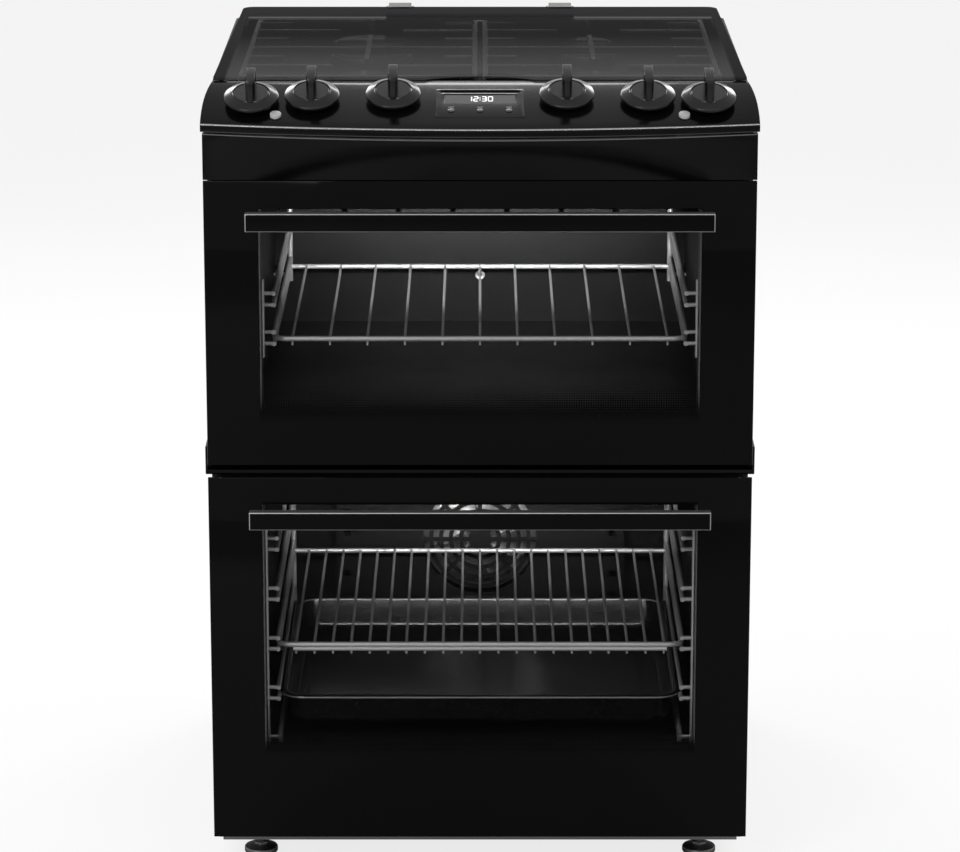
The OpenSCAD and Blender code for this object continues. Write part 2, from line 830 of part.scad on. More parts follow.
// One pan support: an outer frame, long and short bars towards its two burners, and four legs
module pan_support() {
    top = rim_z + support_rise;
    low = top - bar_h;
    half = bar_w / 2;
    leg = 8;
    stub_in = 38;
    stub_out = 43;
    front_stub = 60;
    middle_stub = 61;
    rear_stub = 52;
    middle_d = (front_burner_d + rear_burner_d) / 2;
    module across(x0, x1, d) { block(x0, x1, d - half, d + half, low, top); }
    module along(x, d0, d1) { block(x - half, x + half, d0, d1, low, top); }
    across(support_in, support_out, support_front + half);
    across(support_in, support_out, support_rear - half);
    across(support_in, support_out, middle_d);
    along(support_in + half, support_front, support_rear);
    along(support_out - half, support_front, support_rear);
    for (d = [front_burner_d, rear_burner_d]) {
        across(support_in, burner_x - bar_clear, d);
        across(burner_x + bar_clear, support_out, d);
    }
    for (d = [front_burner_d + front_stub, middle_d + middle_stub, rear_burner_d + rear_stub]) {
        across(support_in, support_in + stub_in, d);
        across(support_out - stub_out, support_out, d);
    }
    along(burner_x, support_front, front_burner_d - bar_clear);
    along(burner_x, front_burner_d + bar_clear, rear_burner_d - bar_clear);
    along(burner_x, rear_burner_d + bar_clear, support_rear);
    for (x = [support_in, support_out - leg]) for (d = [support_front, support_rear - leg])
        block(x, x + leg, d, d + leg, hob_z, low + bar_h / 2);
}

module pan_supports() {
    color("black") both_sides() union() { pan_support(); }
}

// Gas line: a rail under the control panel, a valve under each gas knob, and a pipe to each burner

panel_x = cabinet_x + panel_overhang;
lip_top = rim_z - lip_drop;
knob_d = 26;
knob_side = 54;
knob_space = 6;
oven_knob_x = panel_x - knob_side;
outer_gas_x = oven_knob_x - 2 * knob_r - knob_space;
inner_gas_x = mix(clock_w / 2, outer_gas_x, 0.3434);
gas_knob_x = [-outer_gas_x, -inner_gas_x, inner_gas_x, outer_gas_x];
button_in = 27;
button_x = oven_knob_x - button_in;
rail_d = 44;
rail_drop = 16;
rail_z = hob_z - rail_drop;
rail_r = 8;
outlet_drop = 7;
outlet_z = hob_z - outlet_drop;
outlet_d = 58;
pipe_r = 3.5;
valve_h = 46;
valve_top = 9;
valve_half = 12;
valve_floor = 5;

// Front edge and height of the panel, at a share s of its half width and a share u of its depth
function panel_front(s) = -panel_bow * (1 - s * s);
function panel_height(u) = lip_top + panel_rise * (1.35 * u - 0.35 * u * u);
function panel_z(x, d) =
    let (f = panel_front(x / panel_x)) panel_height((d - f) / (panel_back - f));

// The children on the panel's surface, with their Z along a tilted shaft
module on_panel(x, d) {
    translate([x, back(d), panel_z(x, d)]) rotate([knob_tilt, 0, 0]) children();
}

module gas_valves() {
    rail_end = 20;
    inlet_end = 14;
    stay_x = 140;
    stay_half = 10;
    stay_front = frame_d - 2;
    stay_low = door_top + frame_rise;
    color("peru") difference() {
        union() {
            rod_x(-outer_gas_x - rail_end, inlet_x + inlet_end, rail_d, rail_z, rail_r);
            for (x = gas_knob_x) {
                on_panel(x, knob_d) translate([-valve_half, -valve_half, -valve_h])
                    cube([2 * valve_half, 2 * valve_half, valve_h - valve_top]);
                rod_y(x, rail_d, outlet_d, outlet_z, pipe_r + 1);
            }
            for (x = [-stay_x, stay_x])
                block(x - stay_half, x + stay_half, stay_front, cavity_d, stay_low, rail_z);
        }
        for (x = gas_knob_x) on_panel(x, knob_d)
            translate([0, 0, valve_floor - valve_h]) cylinder(h = valve_h, r = spindle_r + running_fit);
    }
}

module gas_pipes() {
    inlet_pipe_r = 6;
    nut_back = 8;
    // Pairs of a valve and its burner: the outer valves feed the rear burners
    links = [[gas_knob_x[0], burners[2]], [gas_knob_x[1], burners[0]], [gas_knob_x[2], burners[1]],
        [gas_knob_x[3], burners[3]]];
    color("silver") {
        for (link = links) {
            x = link[0];
            burner = link[1];
            side = x < burner[0] ? -1 : 1;
            edge = burner[0] + side * cup_r;
            union() {
                rod_y(x, outlet_d, burner[1], outlet_z, pipe_r);
                rod_x(min(x, edge), max(x, edge), burner[1], outlet_z, pipe_r - 0.2);
                translate([x, back(burner[1]), outlet_z]) sphere(r = pipe_r + 0.4);
            }
        }
        union() {
            rod_y(inlet_x, rail_d + rail_r, inlet_d, rail_z, inlet_pipe_r);
            rod_y(inlet_x, inlet_d, body_depth, rail_z, inlet_r);
            rod_y(inlet_x, inlet_d - nut_back, inlet_d + 0.5, rail_z, inlet_r - 1);
        }
    }
}

// Lid

lid_top = rim_z + lid_rise;
lid_axis_d = rear_d - lid_axis_in;
lid_axis_z = rim_z + lid_axis_rise;
lid_front = panel_back + lid_front_gap;
lid_back = lid_axis_d - lid_rear_gap;
lid_low = lid_top - glass_t;

module lid_glass() {
    front_x = cabinet_x - lid_front_in;
    rear_x = cabinet_x - lid_rear_in;
    corner = 14;
    length = lid_back - lid_front;
    notch_r = (notch_w * notch_w / 4 + notch_h * notch_h) / (2 * notch_h);
    straight = length - corner;
    half_outline = [[0, 0], [front_x, 0], [rear_x, straight], [rear_x - corner, length], [0, length]];
    color("dimgray") translate([0, back(lid_front), lid_low]) linear_extrude(glass_t) difference() {
        both_sides() {
            polygon(half_outline);
            translate([rear_x - corner, straight]) circle(r = corner);
        }
        translate([0, notch_h - notch_r]) circle(r = notch_r);
    }
}

clamp_in = 83;
clamp_out = 110;
lid_barrel_r = 8;
lid_pin_r = 3;

module lid_fittings() {
    clamp_over = 2;
    clamp_reach = 12;
    plate_depth = 66;
    plate_t = 2;
    buffer_r = 5;
    buffer_x = hob_x + 1.5;
    front_buffer = 18;
    rear_buffer = 60;
    color("black") {
        difference() {
            union() {
                both_sides() {
                    block(clamp_in, clamp_out, lid_back - clamp_reach, lid_axis_d, lid_axis_z,
                        lid_top + clamp_over);
                    rod_x(clamp_in, clamp_out, lid_axis_d, lid_axis_z, lid_barrel_r);
                }
                wide_block(clamp_out, lid_back - plate_depth, lid_back, lid_low - plate_t, lid_low);
            }
            wide_block(clamp_out + cut, 0, lid_back, lid_low, lid_top);
            rod_x(-clamp_out - cut, clamp_out + cut, lid_axis_d, lid_axis_z, lid_pin_r + running_fit);
        }
        both_sides() for (d = [lid_front + front_buffer, lid_back - rear_buffer])
            rod_z(buffer_x, d, rim_z + 0.1, lid_low, buffer_r);
    }
}

module lid_bracket() {
    ear = 3;
    ear_half = 7;
    plate_t = 1.6;
    color("silver") union() {
        wide_block(clamp_out + gap + ear, lid_axis_d - 2 * ear_half, rear_d, rim_z, rim_z + plate_t);
        both_sides() {
            for (x = [clamp_in - gap - ear, clamp_out + gap]) {
                block(x, x + ear, lid_axis_d - ear_half, lid_axis_d + ear_half, rim_z + 1, lid_axis_z);
                rod_x(x, x + ear, lid_axis_d, lid_axis_z, ear_half);
            }
            rod_x(clamp_in - gap - 1, clamp_out + gap + 1, lid_axis_d, lid_axis_z, lid_pin_r);
        }
    }
}

// Control panel and trim

stations = 20;
end_t = 3;
end_wall = end_t / panel_x;

// Shares of the half width at which the sections lie, with a double section where each end wall stops
wall_places = [-1, end_wall - 1];
inner_end = 0.9999 - end_wall;
inner_places = [for (i = [0:stations]) mix(-inner_end, inner_end, i / stations)];

// Outer line of the panel from its lip over the top to the bottom of its rear flange: [share, depth, height]
panel_steps = 8;
flange_z = hob_z - rim_t;
function panel_outline(s, t) = let (f = panel_front(s) + t, b = panel_back - t) concat(
    [[0, f, lip_top - lip_h], [0, f, lip_top - t]],
    [for (i = [1:panel_steps]) let (u = i / panel_steps) [u, mix(f, b, u), panel_height(u) - t]],
    [[1, b, flange_z]]);
function base_line(outline, a, b) =
    [for (i = [0:len(outline) - 1]) let (k = i / (len(outline) - 1)) [outline[i][0], mix(a[0], b[0], k),
        mix(a[1], b[1], k)]];
function backwards(list) = [for (i = [len(list) - 1:-1:0]) list[i]];

// Half width of the panel, which draws in towards its top edge
panel_draw = 9.5;
function panel_half(u) = panel_x - panel_draw * pow(u, 2.2);

function panel_section(s, solid) =
    let (outer = panel_outline(s, 0),
        inner = solid ? base_line(outer, [panel_front(s) + panel_t, lip_top - lip_h],
            [panel_back - panel_t, flange_z]) : panel_outline(s, panel_t))
    [for (p = concat(outer, backwards(inner))) [s * panel_half(p[0]), back(p[1]), p[2]]];

clock_d = 18.5;
clock_half = clock_l / 2 - 3;
clock_rise = atan2(panel_z(0, clock_d + clock_half) - panel_z(0, clock_d - clock_half), 2 * clock_half);
clock_sink = 0.8;
clock_t = 3;
clock_button_pitch = 31;
clock_button_d = 17;
hole_depth = 10;

// The children in the middle of the clock window, with X across, Y up the slope and Z out of the panel
module on_clock() {
    translate([0, back(clock_d), panel_z(0, clock_d) - clock_sink]) rotate([clock_rise, 0, 0]) children();
}

module clock_block(w, l, z0, z1) {
    translate([-w / 2, -l / 2, z0]) cube([w, l, z1 - z0]);
}

module control_panel() {
    color("black") difference() {
        skin(concat([for (s = wall_places) panel_section(s, true)],
            [for (s = inner_places) panel_section(s, false)],
            [for (s = backwards(wall_places)) panel_section(-s, true)]));
        for (x = concat(gas_knob_x, [-oven_knob_x, oven_knob_x])) on_panel(x, knob_d)
            cylinder(h = 2 * hole_depth, r = spindle_r + 1, center = true);
        for (x = [-button_x, button_x]) on_panel(x, button_d)
            cylinder(h = 2 * hole_depth, r = button_r + running_fit, center = true);
        on_clock() clock_block(clock_w, clock_l, -hole_depth, hole_depth);
    }
}

module clock_window() {
    color("dimgray") on_clock() difference() {
        clock_block(clock_w, clock_l, -clock_t, 0);
        for (i = [-1:1]) translate([i * clock_button_pitch, -clock_button_d, -clock_t - cut])
            cylinder(h = clock_t + 2 * cut, r = clock_button_r + running_fit);
    }
}

module clock_module() {
    depth = 17;
    side_in = 2;
    end_in = 4;
    well = 6;
    color("darkgreen") on_clock() difference() {
        clock_block(clock_w - 2 * side_in, clock_l - 2 * end_in, -clock_t - depth, -clock_t);
        for (i = [-1:1]) translate([i * clock_button_pitch, -clock_button_d, -clock_t - well])
            cylinder(h = well + cut, r = clock_button_r + 1);
    }
}

module clock_button(i) {
    color("gray") on_clock() translate([i * clock_button_pitch, -clock_button_d, -clock_t - 2])
        cylinder(h = clock_t + 3, r = clock_button_r);
}

trim_gap = 2.5;

function trim_section(s, solid) =
    let (low = door_top + strip_gap, high = lip_top - lip_h - trim_gap, lip_d = 12, steps = 6,
        bow = trim_bow * (1 - s * s),
        line = function (t) concat([[frame_d, low + t]],
            [for (i = [0:steps]) let (v = i / steps) [t - bow * v, mix(low + t, high - t, v)]],
            [[lip_d, high - t]]),
        outer = line(0),
        n = len(outer),
        inner = solid ? [for (i = [0:n - 1]) [mix(frame_d, lip_d + panel_t, i / (n - 1)),
            mix(low + panel_t, high, i / (n - 1))]] : line(panel_t))
    [for (p = concat(outer, backwards(inner))) [s * door_x, back(p[0]), p[1]]];

module lower_trim() {
    color("black") skin(concat([for (s = wall_places) trim_section(s, true)],
        [for (s = inner_places) trim_section(s, false)],
        [for (s = backwards(wall_places)) trim_section(-s, true)]));
}

// Knobs, spindles, switches and buttons

knob_gap = 4.6;
skirt_h = 8;
cap_r = 20;
cap_h = 13;
blade_half = 5;
bore_top = 24;

// Round skirt with a flat top, and a blade across it that narrows towards its top; bored for its shaft
module knob(x, shaft) {
    blade_l = cap_r + 1;
    foot_z = cap_h - cut;
    skirt = [[0, knob_gap], [knob_r, knob_gap], [knob_r - 0.5, skirt_h], [knob_r - 2.5, skirt_h + 1.5],
        [cap_r + 1, cap_h - 0.6], [cap_r, cap_h], [0, cap_h]];
    blade_end = [[-blade_half, foot_z], [blade_half, foot_z], [blade_half - 1.2, knob_h - 1],
        [blade_half - 2, knob_h], [2 - blade_half, knob_h], [1.2 - blade_half, knob_h - 1]];
    blade_side = [[-blade_l, foot_z], [blade_l, foot_z], [blade_l - 5, knob_h - 5], [blade_l - 9, knob_h],
        [9 - blade_l, knob_h], [6 - blade_l, knob_h - 4]];
    on_panel(x, knob_d) difference() {
        union() {
            rotate_extrude() polygon(skirt);
            intersection() {
                rotate([90, 0, 0]) linear_extrude(2 * blade_l, center = true) polygon(blade_end);
                rotate([90, 0, 90]) linear_extrude(4 * blade_half, center = true) polygon(blade_side);
            }
        }
        cylinder(h = bore_top + gap, r = shaft + running_fit);
    }
}

module gas_knob(index) { color("black") knob(gas_knob_x[index], spindle_r); }
module oven_knob(side) { color("black") knob(side * oven_knob_x, spindle_r); }

module gas_spindle(index) {
    bottom = valve_floor - valve_h + push_travel + gap;
    color("silver") on_panel(gas_knob_x[index], knob_d) translate([0, 0, bottom])
        cylinder(h = bore_top - bottom, r = spindle_r);
}

button_d = 2;
button_bottom = -6;
button_travel = 2;
button_rise = 2.5;

// On each side a rotary switch with its shaft, and beside it the cup that guides a push button
module oven_switches() {
    switch_top = -5;
    switch_bottom = -34;
    switch_x = 16;
    switch_y = 14;
    collar_top = -0.7 - panel_t;
    cup_half = button_r + 3;
    cup_bottom = -17;
    bridge = 20;
    bridge_t = 4;
    color("ivory") both_sides() difference() {
        union() {
            on_panel(oven_knob_x, knob_d) {
                translate([-switch_x, -switch_y, switch_bottom])
                    cube([2 * switch_x, 2 * switch_y, switch_top - switch_bottom]);
                translate([0, 0, switch_top - cut])
                    cylinder(h = collar_top - switch_top + cut, r = spindle_r + 2);
                translate([0, 0, switch_top - cut]) cylinder(h = bore_top - switch_top + cut, r = spindle_r);
            }
            on_panel(button_x, button_d) {
                translate([-cup_half, -cup_half, cup_bottom])
                    cube([2 * cup_half, 2 * cup_half, button_bottom - cup_bottom]);
                translate([0, 0, cup_bottom]) cube([bridge, bridge, bridge_t]);
            }
        }
        on_panel(button_x, button_d) translate([0, 0, button_bottom - button_travel - gap])
            cylinder(h = button_travel + gap + cut, r = button_r + 1 + gap);
    }
}

module push_button(side) {
    flange_t = 1.5;
    color("lightgray") on_panel(side * button_x, button_d) translate([0, 0, button_bottom]) union() {
        cylinder(h = button_rise - button_bottom, r = button_r);
        cylinder(h = flange_t, r = button_r + 1);
    }
}

side_panels();
rear_panel();
base_frame();
front_frame();
upper_cavity();
lower_cavity();
door_divider();
lower_trim();
control_panel();
clock_window();
clock_module();
hob_top();
gas_valves();
gas_pipes();
burner_cups();
burner_crowns();
burner_caps();
pan_supports();
lid_bracket();
lid_glass();
lid_fittings();
upper_door_glass();
upper_door_frame();
upper_door_inner_glass();
upper_door_handle();
upper_door_hinges();
lower_door_glass();
lower_door_frame();
lower_door_inner_glass();
lower_door_handle();
lower_door_hinges();
door_seals();
side_racks();
upper_shelf();
lower_shelf();
roasting_pan();
fan_cover();
fan_blade();
fan_motor();
heating_elements();
oven_switches();
oven_knob(-1);  // oven_knob_left
oven_knob(1);  // oven_knob_right
gas_knob(0);  // gas_knob_1
gas_knob(1);  // gas_knob_2
gas_knob(2);  // gas_knob_3
gas_knob(3);  // gas_knob_4
gas_spindle(0);  // gas_spindle_1
gas_spindle(1);  // gas_spindle_2
gas_spindle(2);  // gas_spindle_3
gas_spindle(3);  // gas_spindle_4
push_button(-1);  // spark_button
push_button(1);  // light_button
clock_button(-1);  // clock_button_1
clock_button(0);  // clock_button_2
clock_button(1);  // clock_button_3
foot(0);  // foot_1
foot(1);  // foot_2
foot(2);  // foot_3
foot(3);  // foot_4
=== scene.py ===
# %% [markdown]
# # A dual fuel cooker, dressed
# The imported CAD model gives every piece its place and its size. This lesson gives the pieces their looks:
# rounded edges, enamel, smoked glass, bent wire and cast iron. Nothing is moved, so each new piece is made
# where the CAD has it, and rides on the same body.

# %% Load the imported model
import math

import bpy
from mathutils import Matrix, Vector
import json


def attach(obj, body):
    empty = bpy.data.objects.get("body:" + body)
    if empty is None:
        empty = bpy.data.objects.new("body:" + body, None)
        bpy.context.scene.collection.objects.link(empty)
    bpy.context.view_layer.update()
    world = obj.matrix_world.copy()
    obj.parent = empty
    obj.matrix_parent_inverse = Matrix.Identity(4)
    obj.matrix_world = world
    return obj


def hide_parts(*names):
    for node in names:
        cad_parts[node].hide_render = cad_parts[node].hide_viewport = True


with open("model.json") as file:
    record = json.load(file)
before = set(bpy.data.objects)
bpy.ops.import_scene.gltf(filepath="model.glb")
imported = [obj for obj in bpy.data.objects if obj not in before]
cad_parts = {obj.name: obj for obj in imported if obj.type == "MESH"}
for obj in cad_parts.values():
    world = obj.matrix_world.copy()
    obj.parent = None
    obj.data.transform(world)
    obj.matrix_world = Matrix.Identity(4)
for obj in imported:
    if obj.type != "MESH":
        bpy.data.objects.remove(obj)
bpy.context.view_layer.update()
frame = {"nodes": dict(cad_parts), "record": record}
body_of = {node: body for body, nodes in frame["record"]["behaviour"]["bodies"].items() for node in nodes}
slot_of = {part["node"]: part["material_slot"] for part in frame["record"]["subparts"]}
joint_of = {joint["child"]: joint for joint in frame["record"]["behaviour"]["joints"]}

# %% [markdown]
# Sizes are written in millimetres, as on the drawing. A place is given as X, the depth behind the face of the
# door glass, and the height above the floor, because a cooker is measured that way. One helper turns such a
# place into a point of the scene.

# %% Places in millimetres
FACE_Y = -277.5
MM = 0.001


def spot(x, depth, height):
    """A point of the scene, from X, the depth behind the door glass and the height, in millimetres."""
    return Vector((x, FACE_Y + depth, height)) * MM


print("door face at y =", spot(0, 0, 0).y)

# %% [markdown]
# ## Shader maths
# A finish is a small sum: a base tone, plus some cloudiness, times a mask. Node by node that is hard to read,
# so a socket is wrapped in a class whose operators add Math nodes, and one method makes every other node.


# %% A socket that can be used in a sum
class Value:
    """The output of a node. Sums with it add Math nodes to the same material."""

    def __init__(self, tree, output):
        self.tree = tree
        self.output = output

    def math(self, operation, *values, clamp=False):
        node = self.tree.nodes.new("ShaderNodeMath")
        node.operation = operation
        node.use_clamp = clamp
        for socket, value in zip(node.inputs, (self, *values)):
            join(self.tree, socket, value)
        return Value(self.tree, node.outputs[0])

    def __add__(self, other):
        return self.math("ADD", other)

    def __sub__(self, other):
        return self.math("SUBTRACT", other)

    def __rsub__(self, other):
        return self.math("MULTIPLY", -1.0).math("ADD", other)

    def __mul__(self, other):
        return self.math("MULTIPLY", other)

    def above(self, level, soft=0.0):
        """1 where the value is above a level and 0 below, with a soft edge if one is given."""
        if soft == 0.0:
            return self.math("GREATER_THAN", level)
        return self.math("SUBTRACT", level - soft / 2).math("DIVIDE", soft, clamp=True)


def join(tree, socket, value):
    """Links a Value to a socket, or writes a plain number or colour on it."""
    if isinstance(value, Value):
        tree.links.new(value.output, socket)
    else:
        socket.default_value = value


def tone(red, green=None, blue=None):
    """A colour as it reads on a screen, 0 to 255, turned into the light it stands for."""
    channels = [red, red if green is None else green, red if blue is None else blue]
    return tuple(((c / 255 + 0.055) / 1.055) ** 2.4 if c > 10 else c / 255 / 12.92 for c in channels) + (1.0,)


class Finish:
    """A material for one finish. Constants go on the shader's own sockets."""

    def __init__(self, name, **constants):
        self.material = bpy.data.materials.new(name)
        self.material.use_nodes = True
        self.tree = self.material.node_tree
        self.shader = self.tree.nodes["Principled BSDF"]
        for socket, value in constants.items():
            self.feed(socket.replace("_", " "), value)
        self.place = self.node("TexCoord", out="Object")

    def feed(self, socket, value):
        """Links or writes a value on one of the shader's own sockets."""
        join(self.tree, self.shader.inputs[socket], value)
        return self

    def node(self, kind, settings=(), out=0, **inputs):
        """Any other node. An input is given by its name, or as _0, _1 and so on."""
        node = self.tree.nodes.new("ShaderNode" + kind)
        for name, value in dict(settings).items():
            setattr(node, name, value)
        for name, value in inputs.items():
            key = int(name[1:]) if name[0] == "_" else name.replace("_", " ")
            join(self.tree, node.inputs[key], value)
        return Value(self.tree, node.outputs[out])

    def axis(self, letter):
        """One coordinate of the place on the object, in metres."""
        return self.node("SeparateXYZ", out=letter, Vector=self.place)

    def clouds(self, size, detail=2.0):
        """Soft noise from 0 to 1 whose clouds are about so many millimetres across."""
        return self.node("TexNoise", Vector=self.place, Scale=1000 / size, Detail=detail)

    def blend(self, mask, low, high):
        """A colour that goes from one to the other as the mask goes from 0 to 1."""
        return self.node("Mix", {"data_type": "RGBA"}, out=2, _0=mask, _6=low, _7=high)

    def bump(self, height, depth):
        """Relief so many millimetres deep, from a height of 0 to 1."""
        self.feed("Normal", self.node("Bump", Height=height, Distance=depth * MM, Strength=1.0))
        return self


print("finishes are named as they are made")

# %% [markdown]
# ## Painted and enamelled steel
# Almost all of this cooker is black, and what tells the blacks apart is their surface. Vitreous enamel is
# glossy with a faint ripple, powder coat is satin with a fine grain, and the ovens' enamel has pale specks.
# The specks come from a Voronoi texture: each cell has a random colour, and only a few cells are let through.


# %% Steel finishes
def black_coat(name, shade, gloss, ripple, grain, **constants):
    """A black coating: its shade, its roughness, and a ripple of so many millimetres with its depth."""
    coat = Finish(name, **constants)
    cloud = coat.clouds(60.0)
    coat.feed("Base Color", coat.blend(cloud, tone(shade), tone(shade + 5)))
    coat.feed("Roughness", cloud * 0.08 + gloss)
    return coat.bump(coat.clouds(ripple, 1.0), grain)


def painted_fold_highlight(coat, levels):
    """Paints a highlight along folds, given as a height in millimetres and a strength for each: a pale,
    metallic band.
    """
    height = coat.axis("Z") * 1000
    shine = 0.0
    for level, strength in levels:
        shine = (1 - (height - level).math("ABSOLUTE").above(0.6, 0.6)) * strength + shine
    painted = Value(coat.tree, coat.shader.inputs["Base Color"].links[0].from_socket)
    coat.feed("Base Color", coat.blend(shine, painted, tone(205)))
    coat.feed("Metallic", shine * 0.9)
    return coat


def speckled_enamel(name, shade, fleck, gloss, ripple=0.05, **constants):
    """Vitreous enamel: its shade, the shade of its specks, its roughness and the depth of its ripple."""
    coat = Finish(name, **constants)
    cell = coat.node("TexVoronoi", {"feature": "F1"}, out="Distance", Vector=coat.place, Scale=420.0)
    chosen = coat.node("TexWhiteNoise", out="Value", Vector=coat.node(
        "TexVoronoi", out="Color", Vector=coat.place, Scale=420.0))
    mask = chosen.above(0.86) * (1 - cell.above(0.33, 0.1))
    ground = coat.blend(coat.clouds(140.0), tone(shade), tone(shade + 9))
    coat.feed("Base Color", coat.blend(mask, ground, tone(fleck)))
    coat.feed("Roughness", coat.clouds(40.0) * 0.1 + gloss)
    return coat.bump(coat.clouds(6.0, 1.0), ripple)


def brushed_metal(name, shade, gloss, along, size=0.8, metallic=1.0):
    """Metal with fine lines that run along one axis."""
    metal = Finish(name, Metallic=metallic)
    stretch = [1.0, 1.0, 1.0]
    stretch["XYZ".index(along)] = 0.03
    turned = metal.node("Mapping", Vector=metal.place, Scale=stretch)
    lines = metal.node("TexNoise", Vector=turned, Scale=1000 / size, Detail=2.0)
    metal.feed("Base Color", metal.blend(lines, tone(shade - 14), tone(shade + 10)))
    metal.feed("Roughness", lines * 0.16 + gloss)
    return metal.bump(lines, 0.01)


PANEL_FOLD, PANEL_LIP = 861.0, 853.0
TRIM_FOLD, TRIM_LIP = 850.5, 847.5
PAN_RIM = 196.6
FRONT_COAT = {"shade": 4, "gloss": 0.12, "ripple": 30.0, "grain": 0.01, "Specular_IOR_Level": 0.1}
enamel = black_coat("black_enamel", 9, 0.1, 22.0, 0.02, Specular_IOR_Level=0.2)
gloss_black = black_coat("panel_gloss", **FRONT_COAT)
# The panel and trim finishes get a painted highlight along their folds: a pale, metallic band at each fold
# height.
panel_gloss = painted_fold_highlight(black_coat("panel_enamel", **FRONT_COAT), ((PANEL_FOLD, 0.5), (PANEL_LIP, 0.1)))
trim_gloss = painted_fold_highlight(black_coat("trim_enamel", **FRONT_COAT), ((TRIM_FOLD, 0.26),))
powder = black_coat("powder_coat", 14, 0.42, 1.6, 0.035, Specular_IOR_Level=0.3)
frame_black = black_coat("frame_enamel", 10, 0.2, 14.0, 0.03, Specular_IOR_Level=0.25)
oven_enamel = speckled_enamel("oven_enamel", 18, 50, 0.34, Specular_IOR_Level=0.12)
# The pan's rim gets a painted highlight too: a pale, metallic band at its height.
pan_enamel = painted_fold_highlight(speckled_enamel("pan_enamel", 20, 50, 0.16, 0.02, Specular_IOR_Level=0.4),
                         ((PAN_RIM, 0.5),))
hob_enamel = speckled_enamel("hob_enamel", 12, 26, 0.2, 0.01, Specular_IOR_Level=0.01)
zinc = Finish("zinc_sheet", Metallic=0.85)
spangle = zinc.node("TexVoronoi", out="Color", Vector=zinc.place, Scale=230.0)
flake = zinc.node("SeparateColor", Color=spangle) * 0.6 + zinc.clouds(90.0) * 0.4
zinc.feed("Base Color", zinc.blend(flake, tone(146), tone(170)))
zinc.feed("Roughness", flake * 0.14 + 0.36)
zinc.bump(zinc.clouds(2.0), 0.01)
dark_steel = brushed_metal("dark_steel", 104, 0.34, "X")
chrome = brushed_metal("chrome_wire", 206, 0.3, "Y", 3.0, metallic=0.5)
alloy = brushed_metal("burner_alloy", 172, 0.3, "Z", 1.2)
brass = brushed_metal("brass", 178, 0.28, "X")
print("steel finishes:", len(bpy.data.materials))

# %% [markdown]
# ## Glass
# The doors are black glass with a clear window, and the clear part fades into the black over a border of
# small dots, as it does on the real printed glass. One material does both: the distance from the window's
# border sets how large the dots are, and the dots set Alpha. The lid is smoked all over, with a painted
# reflection that makes it paler towards the front, and a darker border at its sides and at the back.


# %% Glass finishes
LID_REAR = 555.5
LID_HALF = 287.0
WINDOW_HALF = 240


def window_glass(name, low, high, fade, clear):
    """Black glass with a clear window: its lower and upper edge, the height of its fade, how clear it is."""
    glass = Finish(name, Roughness=0.04, Specular_IOR_Level=0.05)
    x = glass.axis("X").math("ABSOLUTE") * 1000
    z = glass.axis("Z") * 1000
    border = (WINDOW_HALF - x).math("MINIMUM", high - z).math("DIVIDE", 2.0, clamp=True)
    amount = (z - low).math("DIVIDE", fade, clamp=True).math("MINIMUM", border)
    dots = glass.node("TexVoronoi", out="Distance", Vector=glass.place, Scale=380.0, Randomness=0.0)
    printed = dots.math("LESS_THAN", (1 - amount) * 0.8)
    glass.feed("Alpha", 1 - (1 - printed) * amount.above(0.02) * clear)
    glass.feed("Base Color", glass.blend(glass.clouds(200.0), tone(6), tone(9)))
    return glass


lid_smoke = Finish("smoked_glass", Roughness=0.05, Specular_IOR_Level=0.0)
lid_depth = lid_smoke.axis("Y") * 1000 - FACE_Y
lid_border = lid_depth.above(LID_REAR - 60.0, 30.0).math(
    "MAXIMUM", (lid_smoke.axis("X").math("ABSOLUTE") * 1000).above(LID_HALF - 12.0, 4.0))
# A painted reflection: the lid's colour is paler towards the front.
lid_painted_reflection = (1 - (lid_depth - 90.0).math("DIVIDE", 260.0, clamp=True)) * (1 - lid_border)
lid_smoke.feed("Base Color", lid_smoke.blend(lid_painted_reflection, tone(46), tone(90)))
lid_smoke.feed("Alpha", lid_border * 0.42 + lid_smoke.clouds(180.0) * 0.04 + 0.53)
upper_glass = window_glass("upper_door_glass", 527.4, 769.4, 60, 0.86)
lower_glass = window_glass("lower_door_glass", 147, 439, 40, 0.86)
upper_inner = window_glass("upper_inner_glass", 528, 768, 4, 0.96)
lower_inner = window_glass("lower_inner_glass", 148, 438, 4, 0.96)
print("finishes so far:", len(bpy.data.materials))

# %% [markdown]
# ## Cast iron, plastics and the rest
# Cast iron is rough from the sand it was poured in. On its top edges a mask from the normal lets a paler tone
# through: partly the wear where pans rub it, partly a painted highlight for the glints those edges catch.
# Moulded plastic is even, with a fine spark-eroded grain. The door seal is braided, so its bump runs
# slantwise.
# The digits of the clock are the one thing here that gives light.

# %% Other finishes
iron = Finish("cast_iron", Specular_IOR_Level=1.0)
upward = iron.node("SeparateXYZ", out="Z", Vector=iron.node("NewGeometry", out="Normal"))
# Upward faces get a paler tone: partly wear from pans, partly a painted highlight for the glints on the bars'
# tops.
worn_and_glint = upward.above(0.75, 0.3) * (iron.clouds(14.0) * 0.5 + 0.75)
iron.feed("Base Color", iron.blend(worn_and_glint, tone(22), tone(128)))
iron.feed("Roughness", iron.clouds(5.0) * 0.16 + 0.16)
iron.bump(iron.clouds(1.4, 3.0), 0.08)


def moulded(name, shade, gloss, grain=0.4, depth=0.006, **constants):
    """Moulded plastic or rubber with a fine grain."""
    plastic = Finish(name, **constants)
    pale = tuple(channel * 1.25 for channel in shade[:3]) + (1,)
    plastic.feed("Base Color", plastic.blend(plastic.clouds(12.0), shade, pale))
    plastic.feed("Roughness", plastic.clouds(5.0) * 0.1 + gloss)
    return plastic.bump(plastic.clouds(grain), depth)


